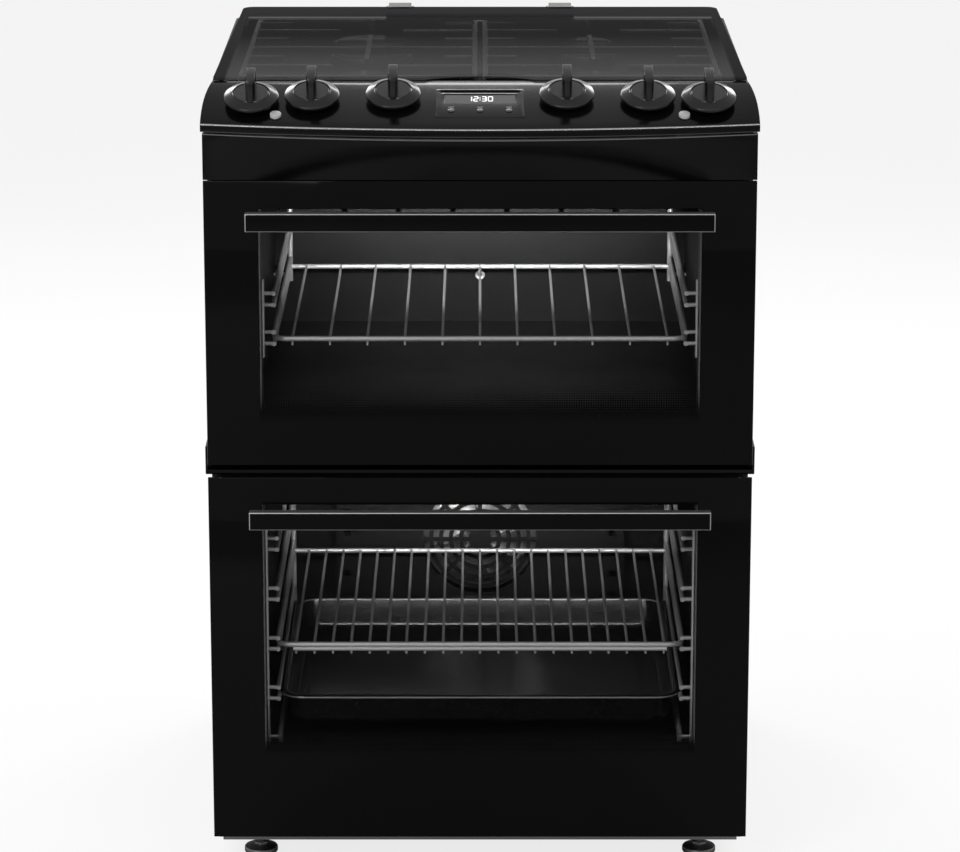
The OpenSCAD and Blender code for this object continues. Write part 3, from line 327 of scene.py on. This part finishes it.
knob_black = moulded("knob_black", tone(14), 0.16, Specular_IOR_Level=0.25)
pale_mark = moulded("pale_mark", tone(150), 0.4)
display_black = moulded("display_black", tone(10), 0.14, Specular_IOR_Level=0.2)
display_grey = moulded("display_grey", tone(58), 0.25, Specular_IOR_Level=0.2)
digit_light = moulded("digit_light", tone(232), 0.5)
digit_light.feed("Emission Color", (1, 1, 1, 1)).feed("Emission Strength", 0.6)
black_plastic = moulded("black_plastic", tone(16), 0.35)
button_grey = moulded("button_grey", tone(160, 160, 163), 0.35)
switch_white = moulded("switch_plastic", tone(196, 190, 172), 0.45)
board_green = moulded("clock_case", tone(30, 62, 44), 0.4)
rubber = moulded("rubber", tone(30), 0.7, 1.2, 0.05)
seal = Finish("braided_seal", Roughness=0.85)
braid = seal.node("TexWave", {"bands_direction": "DIAGONAL"}, Vector=seal.place, Scale=90.0, Distortion=1.0)
seal.feed("Base Color", seal.blend(braid, tone(34), tone(74)))
seal.bump(braid, 0.4)
element = moulded("element_steel", tone(64), 0.5, 2.0, 0.03, Metallic=0.7)


def handle_finish(name, middle):
    """Black, with a painted highlight on the chamfered rim as a pale, metallic tone, for a bar whose middle
    is at this height in millimetres.
    """
    bar = Finish(name, Specular_IOR_Level=0.05)
    x = bar.axis("X").math("ABSOLUTE") * 1000
    z = (bar.axis("Z") * 1000 - middle).math("ABSOLUTE")
    # The rim's pale tone is a painted highlight for the light the chamfers catch; its metal also reflects
    # real light.
    rim = (z.above(9.0) + x.above(249.0)).math("MINIMUM", 1.0)
    face = bar.blend(bar.clouds(50.0), tone(4), tone(7))
    bar.feed("Base Color", bar.blend(rim, face, tone(150)))
    bar.feed("Metallic", rim * 0.9)
    bar.feed("Roughness", rim * 0.12 + 0.2)
    return bar


handle_bars = {"upper_door_handle": handle_finish("upper_handle", 762.9),
               "lower_door_handle": handle_finish("lower_handle", 432.5)}
print("finishes in all:", len(bpy.data.materials))

# %% [markdown]
# ## Dressing a CAD piece
# Many CAD pieces have the right shape and only lack a maker's touch: the edges are knife sharp, and the mesh
# is made of loose triangles. A copy is merged and its flat faces are joined, then a Bevel modifier rounds the
# sharp edges by so many millimetres. Light catches such an edge, which is what makes a black object readable.
# Pieces of thin sheet or wire get no rounding, and keep their triangles.


# %% Copies with rounded edges
def only(*pieces):
    """Selects these pieces and nothing else, in object mode."""
    if bpy.context.object and bpy.context.object.mode != "OBJECT":
        bpy.ops.object.mode_set(mode="OBJECT")
    bpy.ops.object.select_all(action="DESELECT")
    for piece in pieces:
        piece.select_set(True)
    bpy.context.view_layer.objects.active = pieces[-1]


def modify(piece, kind, **settings):
    """Adds a modifier and applies it."""
    only(piece)
    modifier = piece.modifiers.new(kind.lower(), kind)
    for name, value in settings.items():
        setattr(modifier, name, value)
    bpy.ops.object.modifier_apply(modifier=modifier.name)


def merged_copy(node, name):
    """A copy of a CAD node with its loose triangles joined."""
    piece = bpy.data.objects.new(name, frame["nodes"][node].data.copy())
    bpy.context.scene.collection.objects.link(piece)
    only(piece)
    bpy.ops.object.mode_set(mode="EDIT")
    bpy.ops.mesh.select_all(action="SELECT")
    bpy.ops.mesh.remove_doubles(threshold=0.001 * MM)
    bpy.ops.mesh.customdata_custom_splitnormals_clear()
    bpy.ops.object.mode_set(mode="OBJECT")
    return piece


def finish_piece(piece, finish, body, slot, *nodes, angle=35):
    """Gives a piece its material, its smooth shading and its body. The slot is not used."""
    only(piece)
    bpy.ops.object.transform_apply()
    bpy.ops.object.shade_smooth_by_angle(angle=math.radians(angle))
    piece.data.name = piece.name
    piece.data.materials.clear()
    piece.data.materials.append(finish.material)
    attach(piece, body)
    if nodes:
        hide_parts(*nodes)
    return piece


HOLED = {"pan_supports"}


def dress(node, finish, slot, rounding):
    """Stands a rounded, smooth copy in a CAD node's place. A face with a hole in it can't be one polygon."""
    piece = merged_copy(node, node + "_dressed")
    if rounding:
        bpy.ops.object.mode_set(mode="EDIT")
        bpy.ops.mesh.select_all(action="SELECT")
        if node in HOLED:
            bpy.ops.mesh.tris_convert_to_quads(face_threshold=math.radians(0.05), shape_threshold=math.pi)
        else:
            bpy.ops.mesh.dissolve_limited(angle_limit=math.radians(0.05))
        bpy.ops.object.mode_set(mode="OBJECT")
        modify(piece, "BEVEL", width=rounding * MM, segments=2, limit_method="ANGLE",
               angle_limit=math.radians(40), harden_normals=False, miter_outer="MITER_ARC")
    return finish_piece(piece, finish, body_of[node], slot, node)


DRESSED = {
    powder: [("side_panels", 0.5)],
    frame_black: [("front_frame", 0.0)],
    gloss_black: [("door_divider", 0.4)],
    hob_enamel: [("hob_top", 0.0)],
    enamel: [("burner_caps", 1.2)],
    iron: [("pan_supports", 0.8)],
    lid_smoke: [("lid_glass", 0.8)],
    upper_glass: [("upper_door_glass", 0.6)],
    lower_glass: [("lower_door_glass", 0.6)],
    handle_bars["upper_door_handle"]: [("upper_door_handle", 0.3)],
    handle_bars["lower_door_handle"]: [("lower_door_handle", 0.3)],
    oven_enamel: [("fan_cover", 0.0)],
    black_plastic: [("lid_fittings", 0.8)] + [("clock_button_%d" % i, 0.3) for i in (1, 2, 3)],
    button_grey: [("spark_button", 0.8), ("light_button", 0.8)],
    chrome: [("side_racks", 0.0), ("upper_shelf", 0.0), ("lower_shelf", 0.0)],
    alloy: [("burner_cups", 0.6), ("fan_blade", 0.2), ("upper_door_hinges", 0.4), ("lower_door_hinges", 0.4)],
    zinc: [("rear_panel", 0.0), ("fan_motor", 0.8)],
    dark_steel: [("lid_bracket", 0.3), ("base_frame", 0.0), ("upper_door_frame", 0.0),
                 ("lower_door_frame", 0.0)],
    switch_white: [("oven_switches", 0.0)],
    board_green: [("clock_module", 0.8)],
}
for finish, pieces in DRESSED.items():
    for node, rounding in pieces:
        piece = dress(node, finish, slot_of[node], rounding)
        print(piece.name, len(piece.data.polygons), "faces")

# %% [markdown]
# The remaining CAD pieces keep their own meshes and only get a finish.

# %% Finishes for the CAD's own pieces
KEPT = {
    oven_enamel: ["upper_cavity", "lower_cavity"],
    alloy: ["gas_pipes"] + ["gas_spindle_%d" % i for i in (1, 2, 3, 4)],
    brass: ["gas_valves"],
    element: ["heating_elements"],
    seal: ["door_seals"],
    upper_inner: ["upper_door_inner_glass"],
    lower_inner: ["lower_door_inner_glass"],
}
for finish, nodes in KEPT.items():
    for node in nodes:
        materials = frame["nodes"][node].data.materials
        materials.clear()
        materials.append(finish.material)
print("CAD pieces kept:", sum(len(nodes) for nodes in KEPT.values()))

# %% [markdown]
# ## Picking and drawing
# The other pieces are modelled here. An operator works on what is selected, so each step starts by picking
# faces, edges or corners by where they are. A wire or an outline is drawn as by hand: one corner is extruded
# from point to point.


# %% Picking by place, and lines drawn from point to point
def edit(piece, kind="VERT"):
    """Opens a piece in edit mode with nothing selected, to pick corners, edges or faces."""
    only(piece)
    bpy.ops.object.mode_set(mode="EDIT")
    bpy.ops.mesh.select_mode(type=kind)
    bpy.ops.mesh.select_all(action="DESELECT")


def pick(piece, kind, chosen):
    """Selects what passes a test of its middle, in millimetres, and of the item. Stays in edit mode."""
    edit(piece, kind)
    bpy.ops.object.mode_set(mode="OBJECT")
    mesh = piece.data
    for item in {"VERT": mesh.vertices, "EDGE": mesh.edges, "FACE": mesh.polygons}[kind]:
        corners = [item.index] if kind == "VERT" else item.vertices
        middle = sum((mesh.vertices[i].co for i in corners), Vector()) / len(corners) / MM
        item.select = bool(chosen(middle, item))
    bpy.ops.object.mode_set(mode="EDIT")


def near(value, target, slack=0.2):
    """True within so many millimetres."""
    return abs(value - target) < slack


def drawn(name, points):
    """A line of edges through these points, in millimetres."""
    bpy.ops.object.select_all(action="DESELECT")
    bpy.ops.mesh.primitive_plane_add(size=MM)
    piece = bpy.context.object
    piece.name = name
    edit(piece)
    bpy.ops.mesh.select_all(action="SELECT")
    bpy.ops.mesh.merge(type="CENTER")
    bpy.ops.transform.translate(value=Vector(points[0]) * MM)
    for before, after in zip(points, points[1:]):
        step = (Vector(after) - Vector(before)) * MM
        bpy.ops.mesh.extrude_region_move(TRANSFORM_OT_translate={"value": step})
    bpy.ops.object.mode_set(mode="OBJECT")
    return piece


def turned(name, outline, steps=48):
    """A piece turned about Z, from its outline as pairs of radius and height in millimetres."""
    piece = drawn(name, [(radius, 0, height) for radius, height in outline])
    edit(piece)
    bpy.ops.mesh.select_all(action="SELECT")
    bpy.ops.mesh.spin(steps=steps, angle=math.tau, center=(0, 0, 0), axis=(0, 0, 1))
    bpy.ops.mesh.select_all(action="SELECT")
    bpy.ops.mesh.remove_doubles(threshold=0.01 * MM)
    bpy.ops.mesh.normals_make_consistent(inside=False)
    bpy.ops.object.mode_set(mode="OBJECT")
    return piece


def slab(name, low, high):
    """A block between two corners, in millimetres."""
    bpy.ops.object.select_all(action="DESELECT")
    bpy.ops.mesh.primitive_cube_add(size=1)
    piece = bpy.context.object
    piece.name = name
    piece.scale = (Vector(high) - Vector(low)) * MM
    piece.location = (Vector(high) + Vector(low)) * MM / 2
    bpy.ops.object.transform_apply()
    return piece


def joined(name, *pieces):
    """These pieces made one object."""
    only(*pieces)
    bpy.ops.object.join()
    bpy.context.object.name = name
    return bpy.context.object


def copied(piece, name, place):
    """A copy with its own mesh, put at a place given as a matrix."""
    only(piece)
    bpy.ops.object.duplicate()
    copy = bpy.context.object
    copy.name = name
    copy.matrix_world = place
    bpy.ops.object.transform_apply()
    return copy


print("helpers ready, scale", MM)

# %% [markdown]
# ## Control panel and trim
# The bowed panel is the CAD's. Its real front edge is folded, and a fold is never sharp: the highlight along
# it is the brightest line of the whole front. The sharp edges are found by their angle, sorted by place, and
# bevelled, wide along the front fold and narrow elsewhere. Its finish also paints a highlight along the
# folds:
# a pale, metallic band at the fold heights.


# %% Folded edges of the panel and the trim
def sharp_edges(piece):
    """The numbers of the edges that turn by more than 30 degrees."""
    edit(piece, "EDGE")
    bpy.ops.mesh.edges_select_sharp(sharpness=math.radians(30))
    bpy.ops.object.mode_set(mode="OBJECT")
    return {edge.index for edge in piece.data.edges if edge.select}


def fold(piece, width, chosen):
    """Bevels the sharp edges whose middle passes a test."""
    sharp = sharp_edges(piece)
    pick(piece, "EDGE", lambda middle, edge: edge.index in sharp and chosen(middle))
    bpy.ops.mesh.bevel(offset=width * MM, segments=3, affect="EDGES", clamp_overlap=True)
    bpy.ops.object.mode_set(mode="OBJECT")


PANEL_FOLDS = ((1.3, lambda m: near(m.z, PANEL_FOLD, 0.6)), (1.0, lambda m: m.z > 894.5),
               (0.8, lambda m: near(m.z, PANEL_LIP, 0.6)))
TRIM_FOLDS = ((0.9, lambda m: near(m.z, TRIM_FOLD, 0.4)), (0.6, lambda m: near(m.z, TRIM_LIP, 0.4)),
              (0.7, lambda m: abs(m.x) > 290))
for node, coat, folds in (("control_panel", panel_gloss, PANEL_FOLDS),
                          ("lower_trim", trim_gloss, TRIM_FOLDS)):
    piece = merged_copy(node, node + "_folded")
    edit(piece)
    bpy.ops.mesh.select_all(action="SELECT")
    bpy.ops.mesh.dissolve_limited(angle_limit=math.radians(0.02))
    for width, chosen in folds:
        fold(piece, width, chosen)
    finish_piece(piece, coat, body_of[node], slot_of[node], node)
    print(piece.name, len(piece.data.polygons), "faces")

# %% [markdown]
# ## Knobs
# A knob is a moulded disc with a grip across it. The disc is turned from its outline: a low wall, a broad
# flank that catches the light, a fine groove and a flat top. The grip is a block whose ends are cut back and
# narrowed like a bow, with a shallow hollow on each side for the fingers. One knob is modelled upright, then
# copied to each joint's place and leaned along its axis.

# %% One knob
skirt = turned("knob_skirt", [
    (0, 4.6), (27.8, 4.6), (29.2, 5.1), (29.5, 6.0), (29.5, 7.6), (29.2, 8.4), (28.6, 8.9), (21.0, 12.4),
    (20.2, 12.7), (19.6, 12.3), (19.1, 11.9), (18.6, 12.3), (18.1, 12.7), (0, 12.9)], 64)
GRIP_END, GRIP_HALF = 20.5, 5.8
grip = slab("knob_grip", (-GRIP_HALF, -GRIP_END, 12), (GRIP_HALF, GRIP_END, 36))
edit(grip)
for cut in (-13, 0, 13):
    bpy.ops.mesh.select_all(action="SELECT")
    bpy.ops.mesh.bisect(plane_co=(0, cut * MM, 0), plane_no=(0, 1, 0))
bpy.ops.object.mode_set(mode="OBJECT")
for end, narrow in ((-1, 0.5), (1, 0.85)):
    pick(grip, "VERT", lambda m, v: near(m.y, end * GRIP_END) and m.z > 30)
    bpy.ops.transform.translate(value=(0, -end * 4.5 * MM, -4.5 * MM))
    pick(grip, "VERT", lambda m, v: m.y * end > 14)
    bpy.ops.transform.resize(value=(narrow, 1, 1), center_override=(0, 0, 0))
pick(grip, "VERT", lambda m, v: m.z > 35)
bpy.ops.transform.resize(value=(0.86, 1, 1), center_override=(0, 0, 0))
pick(grip, "FACE", lambda m, f: abs(f.normal.x) > 0.8)
bpy.ops.mesh.inset(thickness=1.5 * MM, depth=-0.7 * MM)
bpy.ops.object.mode_set(mode="OBJECT")
modify(grip, "BEVEL", width=0.9 * MM, segments=3, limit_method="ANGLE", angle_limit=math.radians(25))
knob = joined("knob", grip, skirt)
mark = slab("knob_mark", (-0.7, 22.4, 11.6), (0.7, 27.4, 12.2))
pick(mark, "VERT", lambda m, v: m.y > 25)
bpy.ops.transform.translate(value=(0, 0, -2.2 * MM))
bpy.ops.object.mode_set(mode="OBJECT")
print("knob faces:", len(knob.data.polygons))

# %% Six knobs
for node in ["oven_knob_left", "oven_knob_right"] + ["gas_knob_%d" % i for i in (1, 2, 3, 4)]:
    joint = joint_of[node]
    lean = Vector((0, 0, 1)).rotation_difference(Vector(joint["axis"])).to_matrix().to_4x4()
    place = Matrix.Translation(joint["pos_m"]) @ lean
    finish_piece(copied(knob, node + "_moulded", place), knob_black, node, "black_plastic", node)
    finish_piece(copied(mark, node + "_mark", place), pale_mark, node, "button_grey")
for piece in (knob, mark):
    bpy.data.objects.remove(piece)
print("knobs at", [tuple(joint_of["gas_knob_%d" % i]["pos_m"]) for i in (1, 2, 3, 4)])

# %% [markdown]
# ## Clock
# The clock is a dark slab with rounded corners. It has a slot along its top, a display sunk in the middle and
# three small keys below. The time is made of bars, seven to a digit, so one bar is modelled, its ends pointed
# by a bevel, and copied to each place that the digit needs.

# %% The clock's face
CLOCK_PLACE = Matrix.Translation(spot(0, 18.5, 880.76)) @ Matrix.Rotation(math.radians(18.768), 4, "X")
SLOT_X, SLOT_LOW, SLOT_HIGH = 43, 22.5, 27.5
DISPLAY_X, DISPLAY_LOW, DISPLAY_HIGH = 38, 0.5, 19.5
face = slab("clock_face", (-47.5, -31, -3), (47.5, 31, 0))
pick(face, "EDGE", lambda m, e: near(m.z, -1.5) and abs(m.x) > 47)
bpy.ops.mesh.bevel(offset=3 * MM, segments=4, affect="EDGES")
bpy.ops.object.mode_set(mode="OBJECT")
edit(face)
CUTS = [((0, y, 0), (0, 1, 0)) for y in (SLOT_LOW, SLOT_HIGH, DISPLAY_LOW, DISPLAY_HIGH)]
CUTS += [((x, 0, 0), (1, 0, 0)) for x in (-DISPLAY_X, DISPLAY_X, -SLOT_X, SLOT_X)]
for point, normal in CUTS:
    bpy.ops.mesh.select_all(action="SELECT")
    bpy.ops.mesh.bisect(plane_co=Vector(point) * MM, plane_no=normal)
bpy.ops.object.mode_set(mode="OBJECT")
for low, high, half, sunk in ((SLOT_LOW, SLOT_HIGH, SLOT_X, 1.6),
                              (DISPLAY_LOW, DISPLAY_HIGH, DISPLAY_X, 0.8)):
    pick(face, "FACE", lambda m, f: f.normal.z > 0.9 and low < m.y < high and abs(m.x) < half)
    bpy.ops.mesh.extrude_region_move(TRANSFORM_OT_translate={"value": (0, 0, -sunk * MM)})
bpy.ops.object.mode_set(mode="OBJECT")
modify(face, "BEVEL", width=0.35 * MM, segments=2, limit_method="ANGLE", angle_limit=math.radians(40))
face.matrix_world = CLOCK_PLACE
finish_piece(face, display_black, "cabinet", slot_of["clock_window"], "clock_window")
display = slab("clock_display", (-37.6, 0.9, -0.9), (37.6, 19.1, -0.5))
display.matrix_world = CLOCK_PLACE
finish_piece(display, display_grey, "cabinet", "black_plastic")
print("clock face:", len(face.data.polygons), "faces")

# %% The time in bars
DIGIT_W, DIGIT_H, BAR = 4.4, 9.6, 1.3
SEGMENTS = {"a": (0, 1, False), "b": (1, 0.5, True), "c": (1, -0.5, True), "d": (0, -1, False),
            "e": (-1, -0.5, True), "f": (-1, 0.5, True), "g": (0, 0, False)}
DIGITS = ((-11.2, "bc"), (-4.4, "abged"), (4.4, "abgcd"), (11.2, "abcdef"))
DIGIT_MIDDLE = 9.8
bar = slab("bar", (-DIGIT_W / 2, -BAR / 2, 0), (DIGIT_W / 2, BAR / 2, 0.25))
pick(bar, "EDGE", lambda m, e: near(m.z, 0.125, 0.01))
bpy.ops.mesh.bevel(offset=BAR * 0.45 * MM, segments=1, affect="EDGES")
bpy.ops.object.mode_set(mode="OBJECT")
bars = []
for x, used in DIGITS:
    for letter in used:
        across, up, upright = SEGMENTS[letter]
        middle = Vector((x + across * DIGIT_W / 2, DIGIT_MIDDLE + up * DIGIT_H / 2, -0.5))
        at = Matrix.Translation(middle * MM)
        turn = Matrix.Rotation(math.radians(90 if upright else 0), 4, "Z")
        bars.append(copied(bar, "bar_%d" % len(bars), CLOCK_PLACE @ at @ turn))
for up in (-2.2, 2.2):
    at = Matrix.Translation(Vector((0, DIGIT_MIDDLE + up, -0.5)) * MM) @ Matrix.Diagonal((0.32, 1, 1, 1))
    bars.append(copied(bar, "dot", CLOCK_PLACE @ at))
bpy.data.objects.remove(bar)
finish_piece(joined("clock_time", *bars), digit_light, "cabinet", "button_grey")
key_mark = slab("key_mark", (-3.0, -0.45, 0), (3.0, 0.45, 0.15))
marks = [copied(key_mark, "mark", CLOCK_PLACE @ Matrix.Translation(Vector((x, -9, 0)) * MM))
         for x in (-31, 0, 31)]
bpy.data.objects.remove(key_mark)
finish_piece(joined("clock_marks", *marks), pale_mark, "cabinet", "button_grey")
print("bars:", len(bars))

# %% [markdown]
# ## Burners
# The flames of a gas burner come from slots round its crown. The crown starts as a cylinder with one side
# face for each slot and each gap. Two cuts give the slots a floor and a roof, and every second face is then
# pushed in on its own.

# %% Crowns with flame slots
BURNERS = ((-128, 211, 38), (128, 211, 38), (-128, 453, 46), (128, 453, 29))
SLOT_FLOOR, SLOT_ROOF = 864.4, 868.6
crowns = []
for x, depth, radius in BURNERS:
    slots = 2 * round(radius * 0.9)
    middle = spot(x, depth, 865.5)
    bpy.ops.object.select_all(action="DESELECT")
    bpy.ops.mesh.primitive_cylinder_add(vertices=slots, radius=(radius - 4) * MM, depth=9 * MM,
                                        location=middle)
    crown = bpy.context.object
    bpy.ops.object.transform_apply()
    edit(crown)
    for height in (SLOT_FLOOR, SLOT_ROOF):
        bpy.ops.mesh.select_all(action="SELECT")
        bpy.ops.mesh.bisect(plane_co=(0, 0, height * MM), plane_no=(0, 0, 1))
    bpy.ops.object.mode_set(mode="OBJECT")
    turn = math.tau / slots
    pick(crown, "FACE", lambda m, f: abs(f.normal.z) < 0.1 and near(m.z, 866.5, 0.5)
         and int(math.atan2(m.y - middle.y / MM, m.x - x) % math.tau / turn) % 2)
    bpy.ops.mesh.inset(thickness=0.25 * MM, depth=-2.6 * MM, use_individual=True)
    bpy.ops.object.mode_set(mode="OBJECT")
    foot = turned("crown_foot", [(0, 860.8), (radius - 0.5, 860.8), (radius, 861.4), (radius, 863.2),
                                 (radius - 0.8, 864.0), (0, 864.0)])
    foot.location = spot(x, depth, 0)
    bpy.ops.object.transform_apply()
    crowns += [crown, foot]
slotted = joined("burner_crowns_slotted", *crowns)
finish_piece(slotted, alloy, "cabinet", slot_of["burner_crowns"], "burner_crowns")
print("crowns:", len(slotted.data.polygons), "faces")

# %% [markdown]
# ## Roasting pan
# The pan is pressed from one sheet. It is modelled the way it is pressed: a flat sheet gets round corners,
# its rim is set off by an inset, and the middle is drawn down in steps, each a little smaller than the last.
# The outer edge is rolled down, and the sheet is given its thickness at the end.

# %% A pressed pan
PAN_W, PAN_D = 453, 367
pan_middle = spot(0, 240, 198.1)
bpy.ops.object.select_all(action="DESELECT")
bpy.ops.mesh.primitive_plane_add(size=1, location=pan_middle)
pan = bpy.context.object
pan.name = "roasting_pan_pressed"
pan.scale = (PAN_W * MM, PAN_D * MM, 1)
bpy.ops.object.transform_apply()
edit(pan)
bpy.ops.mesh.select_all(action="SELECT")
bpy.ops.mesh.bevel(offset=30 * MM, segments=8, affect="VERTICES")
bpy.ops.mesh.select_mode(type="FACE")
bpy.ops.mesh.select_all(action="SELECT")
bpy.ops.mesh.inset(thickness=7.5 * MM)
for drop, shrink in ((0.6, 0.8), (1.8, 1.2), (24.0, 3.8), (5.0, 1.6), (3.4, 2.6), (1.6, 3.4)):
    bpy.ops.mesh.extrude_region_move(TRANSFORM_OT_translate={"value": (0, 0, -drop * MM)})
    factor = (1 - shrink / 215, 1 - shrink / 175, 1)
    bpy.ops.transform.resize(value=factor, center_override=pan_middle)
bpy.ops.mesh.select_all(action="DESELECT")
bpy.ops.mesh.select_mode(type="EDGE")
bpy.ops.mesh.select_non_manifold()
for drop, grow in ((0.7, 0.8), (1.4, 0.3), (1.4, -0.2)):
    bpy.ops.mesh.extrude_region_move(TRANSFORM_OT_translate={"value": (0, 0, -drop * MM)})
    bpy.ops.transform.resize(value=(1 + grow / 226, 1 + grow / 183, 1), center_override=pan_middle)
bpy.ops.mesh.select_all(action="SELECT")
bpy.ops.mesh.normals_make_consistent(inside=False)
bpy.ops.object.mode_set(mode="OBJECT")
modify(pan, "SOLIDIFY", thickness=1.2 * MM, offset=-1.0)
finish_piece(pan, pan_enamel, body_of["roasting_pan"], slot_of["roasting_pan"], "roasting_pan", angle=50)
print("pan:", len(pan.data.polygons), "faces")

# %% [markdown]
# ## Shelf tips
# The rungs of the lower shelf end just below its front bar, where they show as a row of bright dots. The
# corners at their very ends are picked by their height and pulled down.

# %% Longer tips on the lower shelf
shelf = bpy.data.objects["lower_shelf_dressed"]
pick(shelf, "VERT", lambda m, v: m.z < 250.7)
bpy.ops.transform.translate(value=(0, 0, -3.5 * MM))
bpy.ops.object.mode_set(mode="OBJECT")
print("tip corners moved:", sum(v.select for v in shelf.data.vertices))

# %% [markdown]
# ## Levelling feet
# Each foot is a pad on a threaded stem, with a hexagonal nut to turn it by. Pad and stem are one turned
# piece, and the thread is a row of small ridges. The nut is a six-sided cylinder with its corners taken off.

# %% A foot and its copies
PITCH, RIDGES = 1.5, 24
thread = [(radius, 14.0 + PITCH * turn + rise) for turn in range(RIDGES)
          for radius, rise in ((4.6, 0.0), (5.0, PITCH / 2))]
pad = turned("foot_pad", [(0, 0), (17.4, 0), (18.7, 0.9), (19, 2), (19, 5.6), (18.2, 6.8), (9, 8), (5, 8.4),
                          (4.6, 13.2)] + thread + [(4.6, 50.5), (0, 51)], 32)
bpy.ops.object.select_all(action="DESELECT")
bpy.ops.mesh.primitive_cylinder_add(vertices=6, radius=8.6 * MM, depth=4.4 * MM, location=(0, 0, 10.4 * MM))
nut = bpy.context.object
bpy.ops.object.transform_apply()
modify(nut, "BEVEL", width=0.6 * MM, segments=2, limit_method="ANGLE", angle_limit=math.radians(40))
foot = joined("foot", pad, nut)
for index, (side, depth) in enumerate(((-1, 90), (1, 90), (-1, 540), (1, 540)), 1):
    name = "foot_%d" % index
    place = Matrix.Translation(spot(side * 250, depth, 0))
    finish_piece(copied(foot, name + "_threaded", place), dark_steel, name, slot_of[name], name)
bpy.data.objects.remove(foot)
print("thread ridges:", RIDGES)

# %% [markdown]
# ## Small fasteners
# The back is held on by screws. One screw head with a round recess is turned, and its copies are joined into
# one piece. A clip ring sits on the back wall of the upper oven, where the grill's sensor goes through.

# %% Screws on the back and a clip in the upper oven
head = turned("screw_head", [
    (0, 0), (4.2, 0), (4.2, 0.8), (3.6, 1.7), (2.4, 2.3), (1.2, 2.4), (1.1, 1.0), (0, 1.0)], 24)
to_back = Matrix.Rotation(math.radians(-90), 4, "X")
heads = [copied(head, "screw", Matrix.Translation(spot(x, 591.4, z)) @ to_back)
         for x in (-280, 0, 280) for z in (90, 340, 600, 840)]
bpy.data.objects.remove(head)
finish_piece(joined("back_screws", *heads), zinc, "cabinet", slot_of["rear_panel"])
clip = turned("wall_clip", [(2.6, 0), (5.4, 0), (5.8, 0.8), (5.4, 2.0), (4.0, 2.8), (2.8, 2.4), (2.6, 0)], 32)
clip.matrix_world = Matrix.Translation(spot(0, 471.8, 587.7)) @ Matrix.Rotation(math.radians(90), 4, "X")
finish_piece(clip, chrome, "cabinet", "chrome_wire")
print("screws:", len(heads))

# %% [markdown]
# ## Floor, light and camera
# The photograph is a studio shot on white. The floor is pale, and to the camera it is nearly white, with
# only a soft shadow. The world is white to the camera and in reflections, and gives a weaker, even light
# otherwise. A lamp in each oven stands in for the light that the door lets in. The camera is a long lens
# above the hob, tilted down.

# %% Floor
bpy.ops.object.select_all(action="DESELECT")
bpy.ops.mesh.primitive_plane_add(size=40, location=(0, 0, 0))
floor = bpy.context.object
floor.name = "floor"
ground = Finish("pale_floor", Roughness=0.9, Specular_IOR_Level=0.2)
ground.feed("Base Color", ground.blend(ground.clouds(800.0), tone(238), tone(242)))
white = ground.node("Emission", Color=(1, 1, 1, 1), Strength=1.0)
seen = ground.node("LightPath", out="Is Camera Ray")
mixed = ground.node("MixShader", _0=seen * 0.8, _1=Value(ground.tree, ground.shader.outputs[0]), _2=white)
join(ground.tree, ground.tree.nodes["Material Output"].inputs["Surface"], mixed)
floor.data.materials.append(ground.material)
print("floor:", floor.dimensions)

# %% World and lamps
world = bpy.data.worlds.new("studio")
bpy.context.scene.world = world
world.use_nodes = True
sky = world.node_tree
path = sky.nodes.new("ShaderNodeLightPath")
direct = (Value(sky, path.outputs["Is Camera Ray"]) + Value(sky, path.outputs["Is Glossy Ray"])
          + Value(sky, path.outputs["Is Transmission Ray"])).math("MINIMUM", 1.0)
join(sky, sky.nodes["Background"].inputs["Color"], (1, 1, 1, 1))
join(sky, sky.nodes["Background"].inputs["Strength"], direct * 0.45 + 0.55)


def softbox(name, place, target, width, height, power, spread=180):
    """A rectangular lamp that the camera doesn't see: sizes in metres, power in watts, spread in degrees."""
    lamp = bpy.data.lights.new(name, "AREA")
    lamp.spread = math.radians(spread)
    lamp.shape = "RECTANGLE"
    lamp.size, lamp.size_y, lamp.energy = width, height, power
    holder = bpy.data.objects.new(name, lamp)
    holder.location = place
    holder.rotation_euler = (Vector(target) - Vector(place)).to_track_quat("-Z", "Y").to_euler()
    holder.visible_camera = False
    bpy.context.scene.collection.objects.link(holder)


softbox("front_box", (-1.6, -3.2, 2.0), (0, 0, 0.5), 1.4, 1.4, 40)
softbox("front_strip", (0, -1.9, 2.9), (0, -0.3, 0.85), 3.0, 0.12, 17)
for side in (-1, 1):
    softbox("rear_box", (side * 1.4, 2.3, 2.1), (0, 0, 0.88), 1.0, 1.0, 28)
softbox("rear_middle", (0, 1.9, 2.25), (0, -0.25, 0.88), 1.6, 0.35, 16)
for height, power in ((722, 1.5), (432, 1.3)):
    softbox("oven_light", spot(0, 60, height), spot(0, 440, height - 45), 0.36, 0.03, power, 75)
print("lamps:", len(bpy.data.lights))

# %% Camera
LENS_PIXELS = 3811
IMAGE_WIDTH = 960
TILT = 13.86
camera_data = bpy.data.cameras.new("camera")
camera_data.sensor_width = 36
camera_data.lens = LENS_PIXELS / IMAGE_WIDTH * 36
camera_data.shift_y = -0.098
camera = bpy.data.objects.new("camera", camera_data)
camera.location = spot(0, -4000, 1620)
camera.rotation_euler = (math.radians(90 - TILT), 0, 0)
bpy.context.scene.collection.objects.link(camera)
bpy.context.scene.camera = camera
bpy.context.scene.view_settings.view_transform = "Standard"
print("lens:", camera_data.lens)
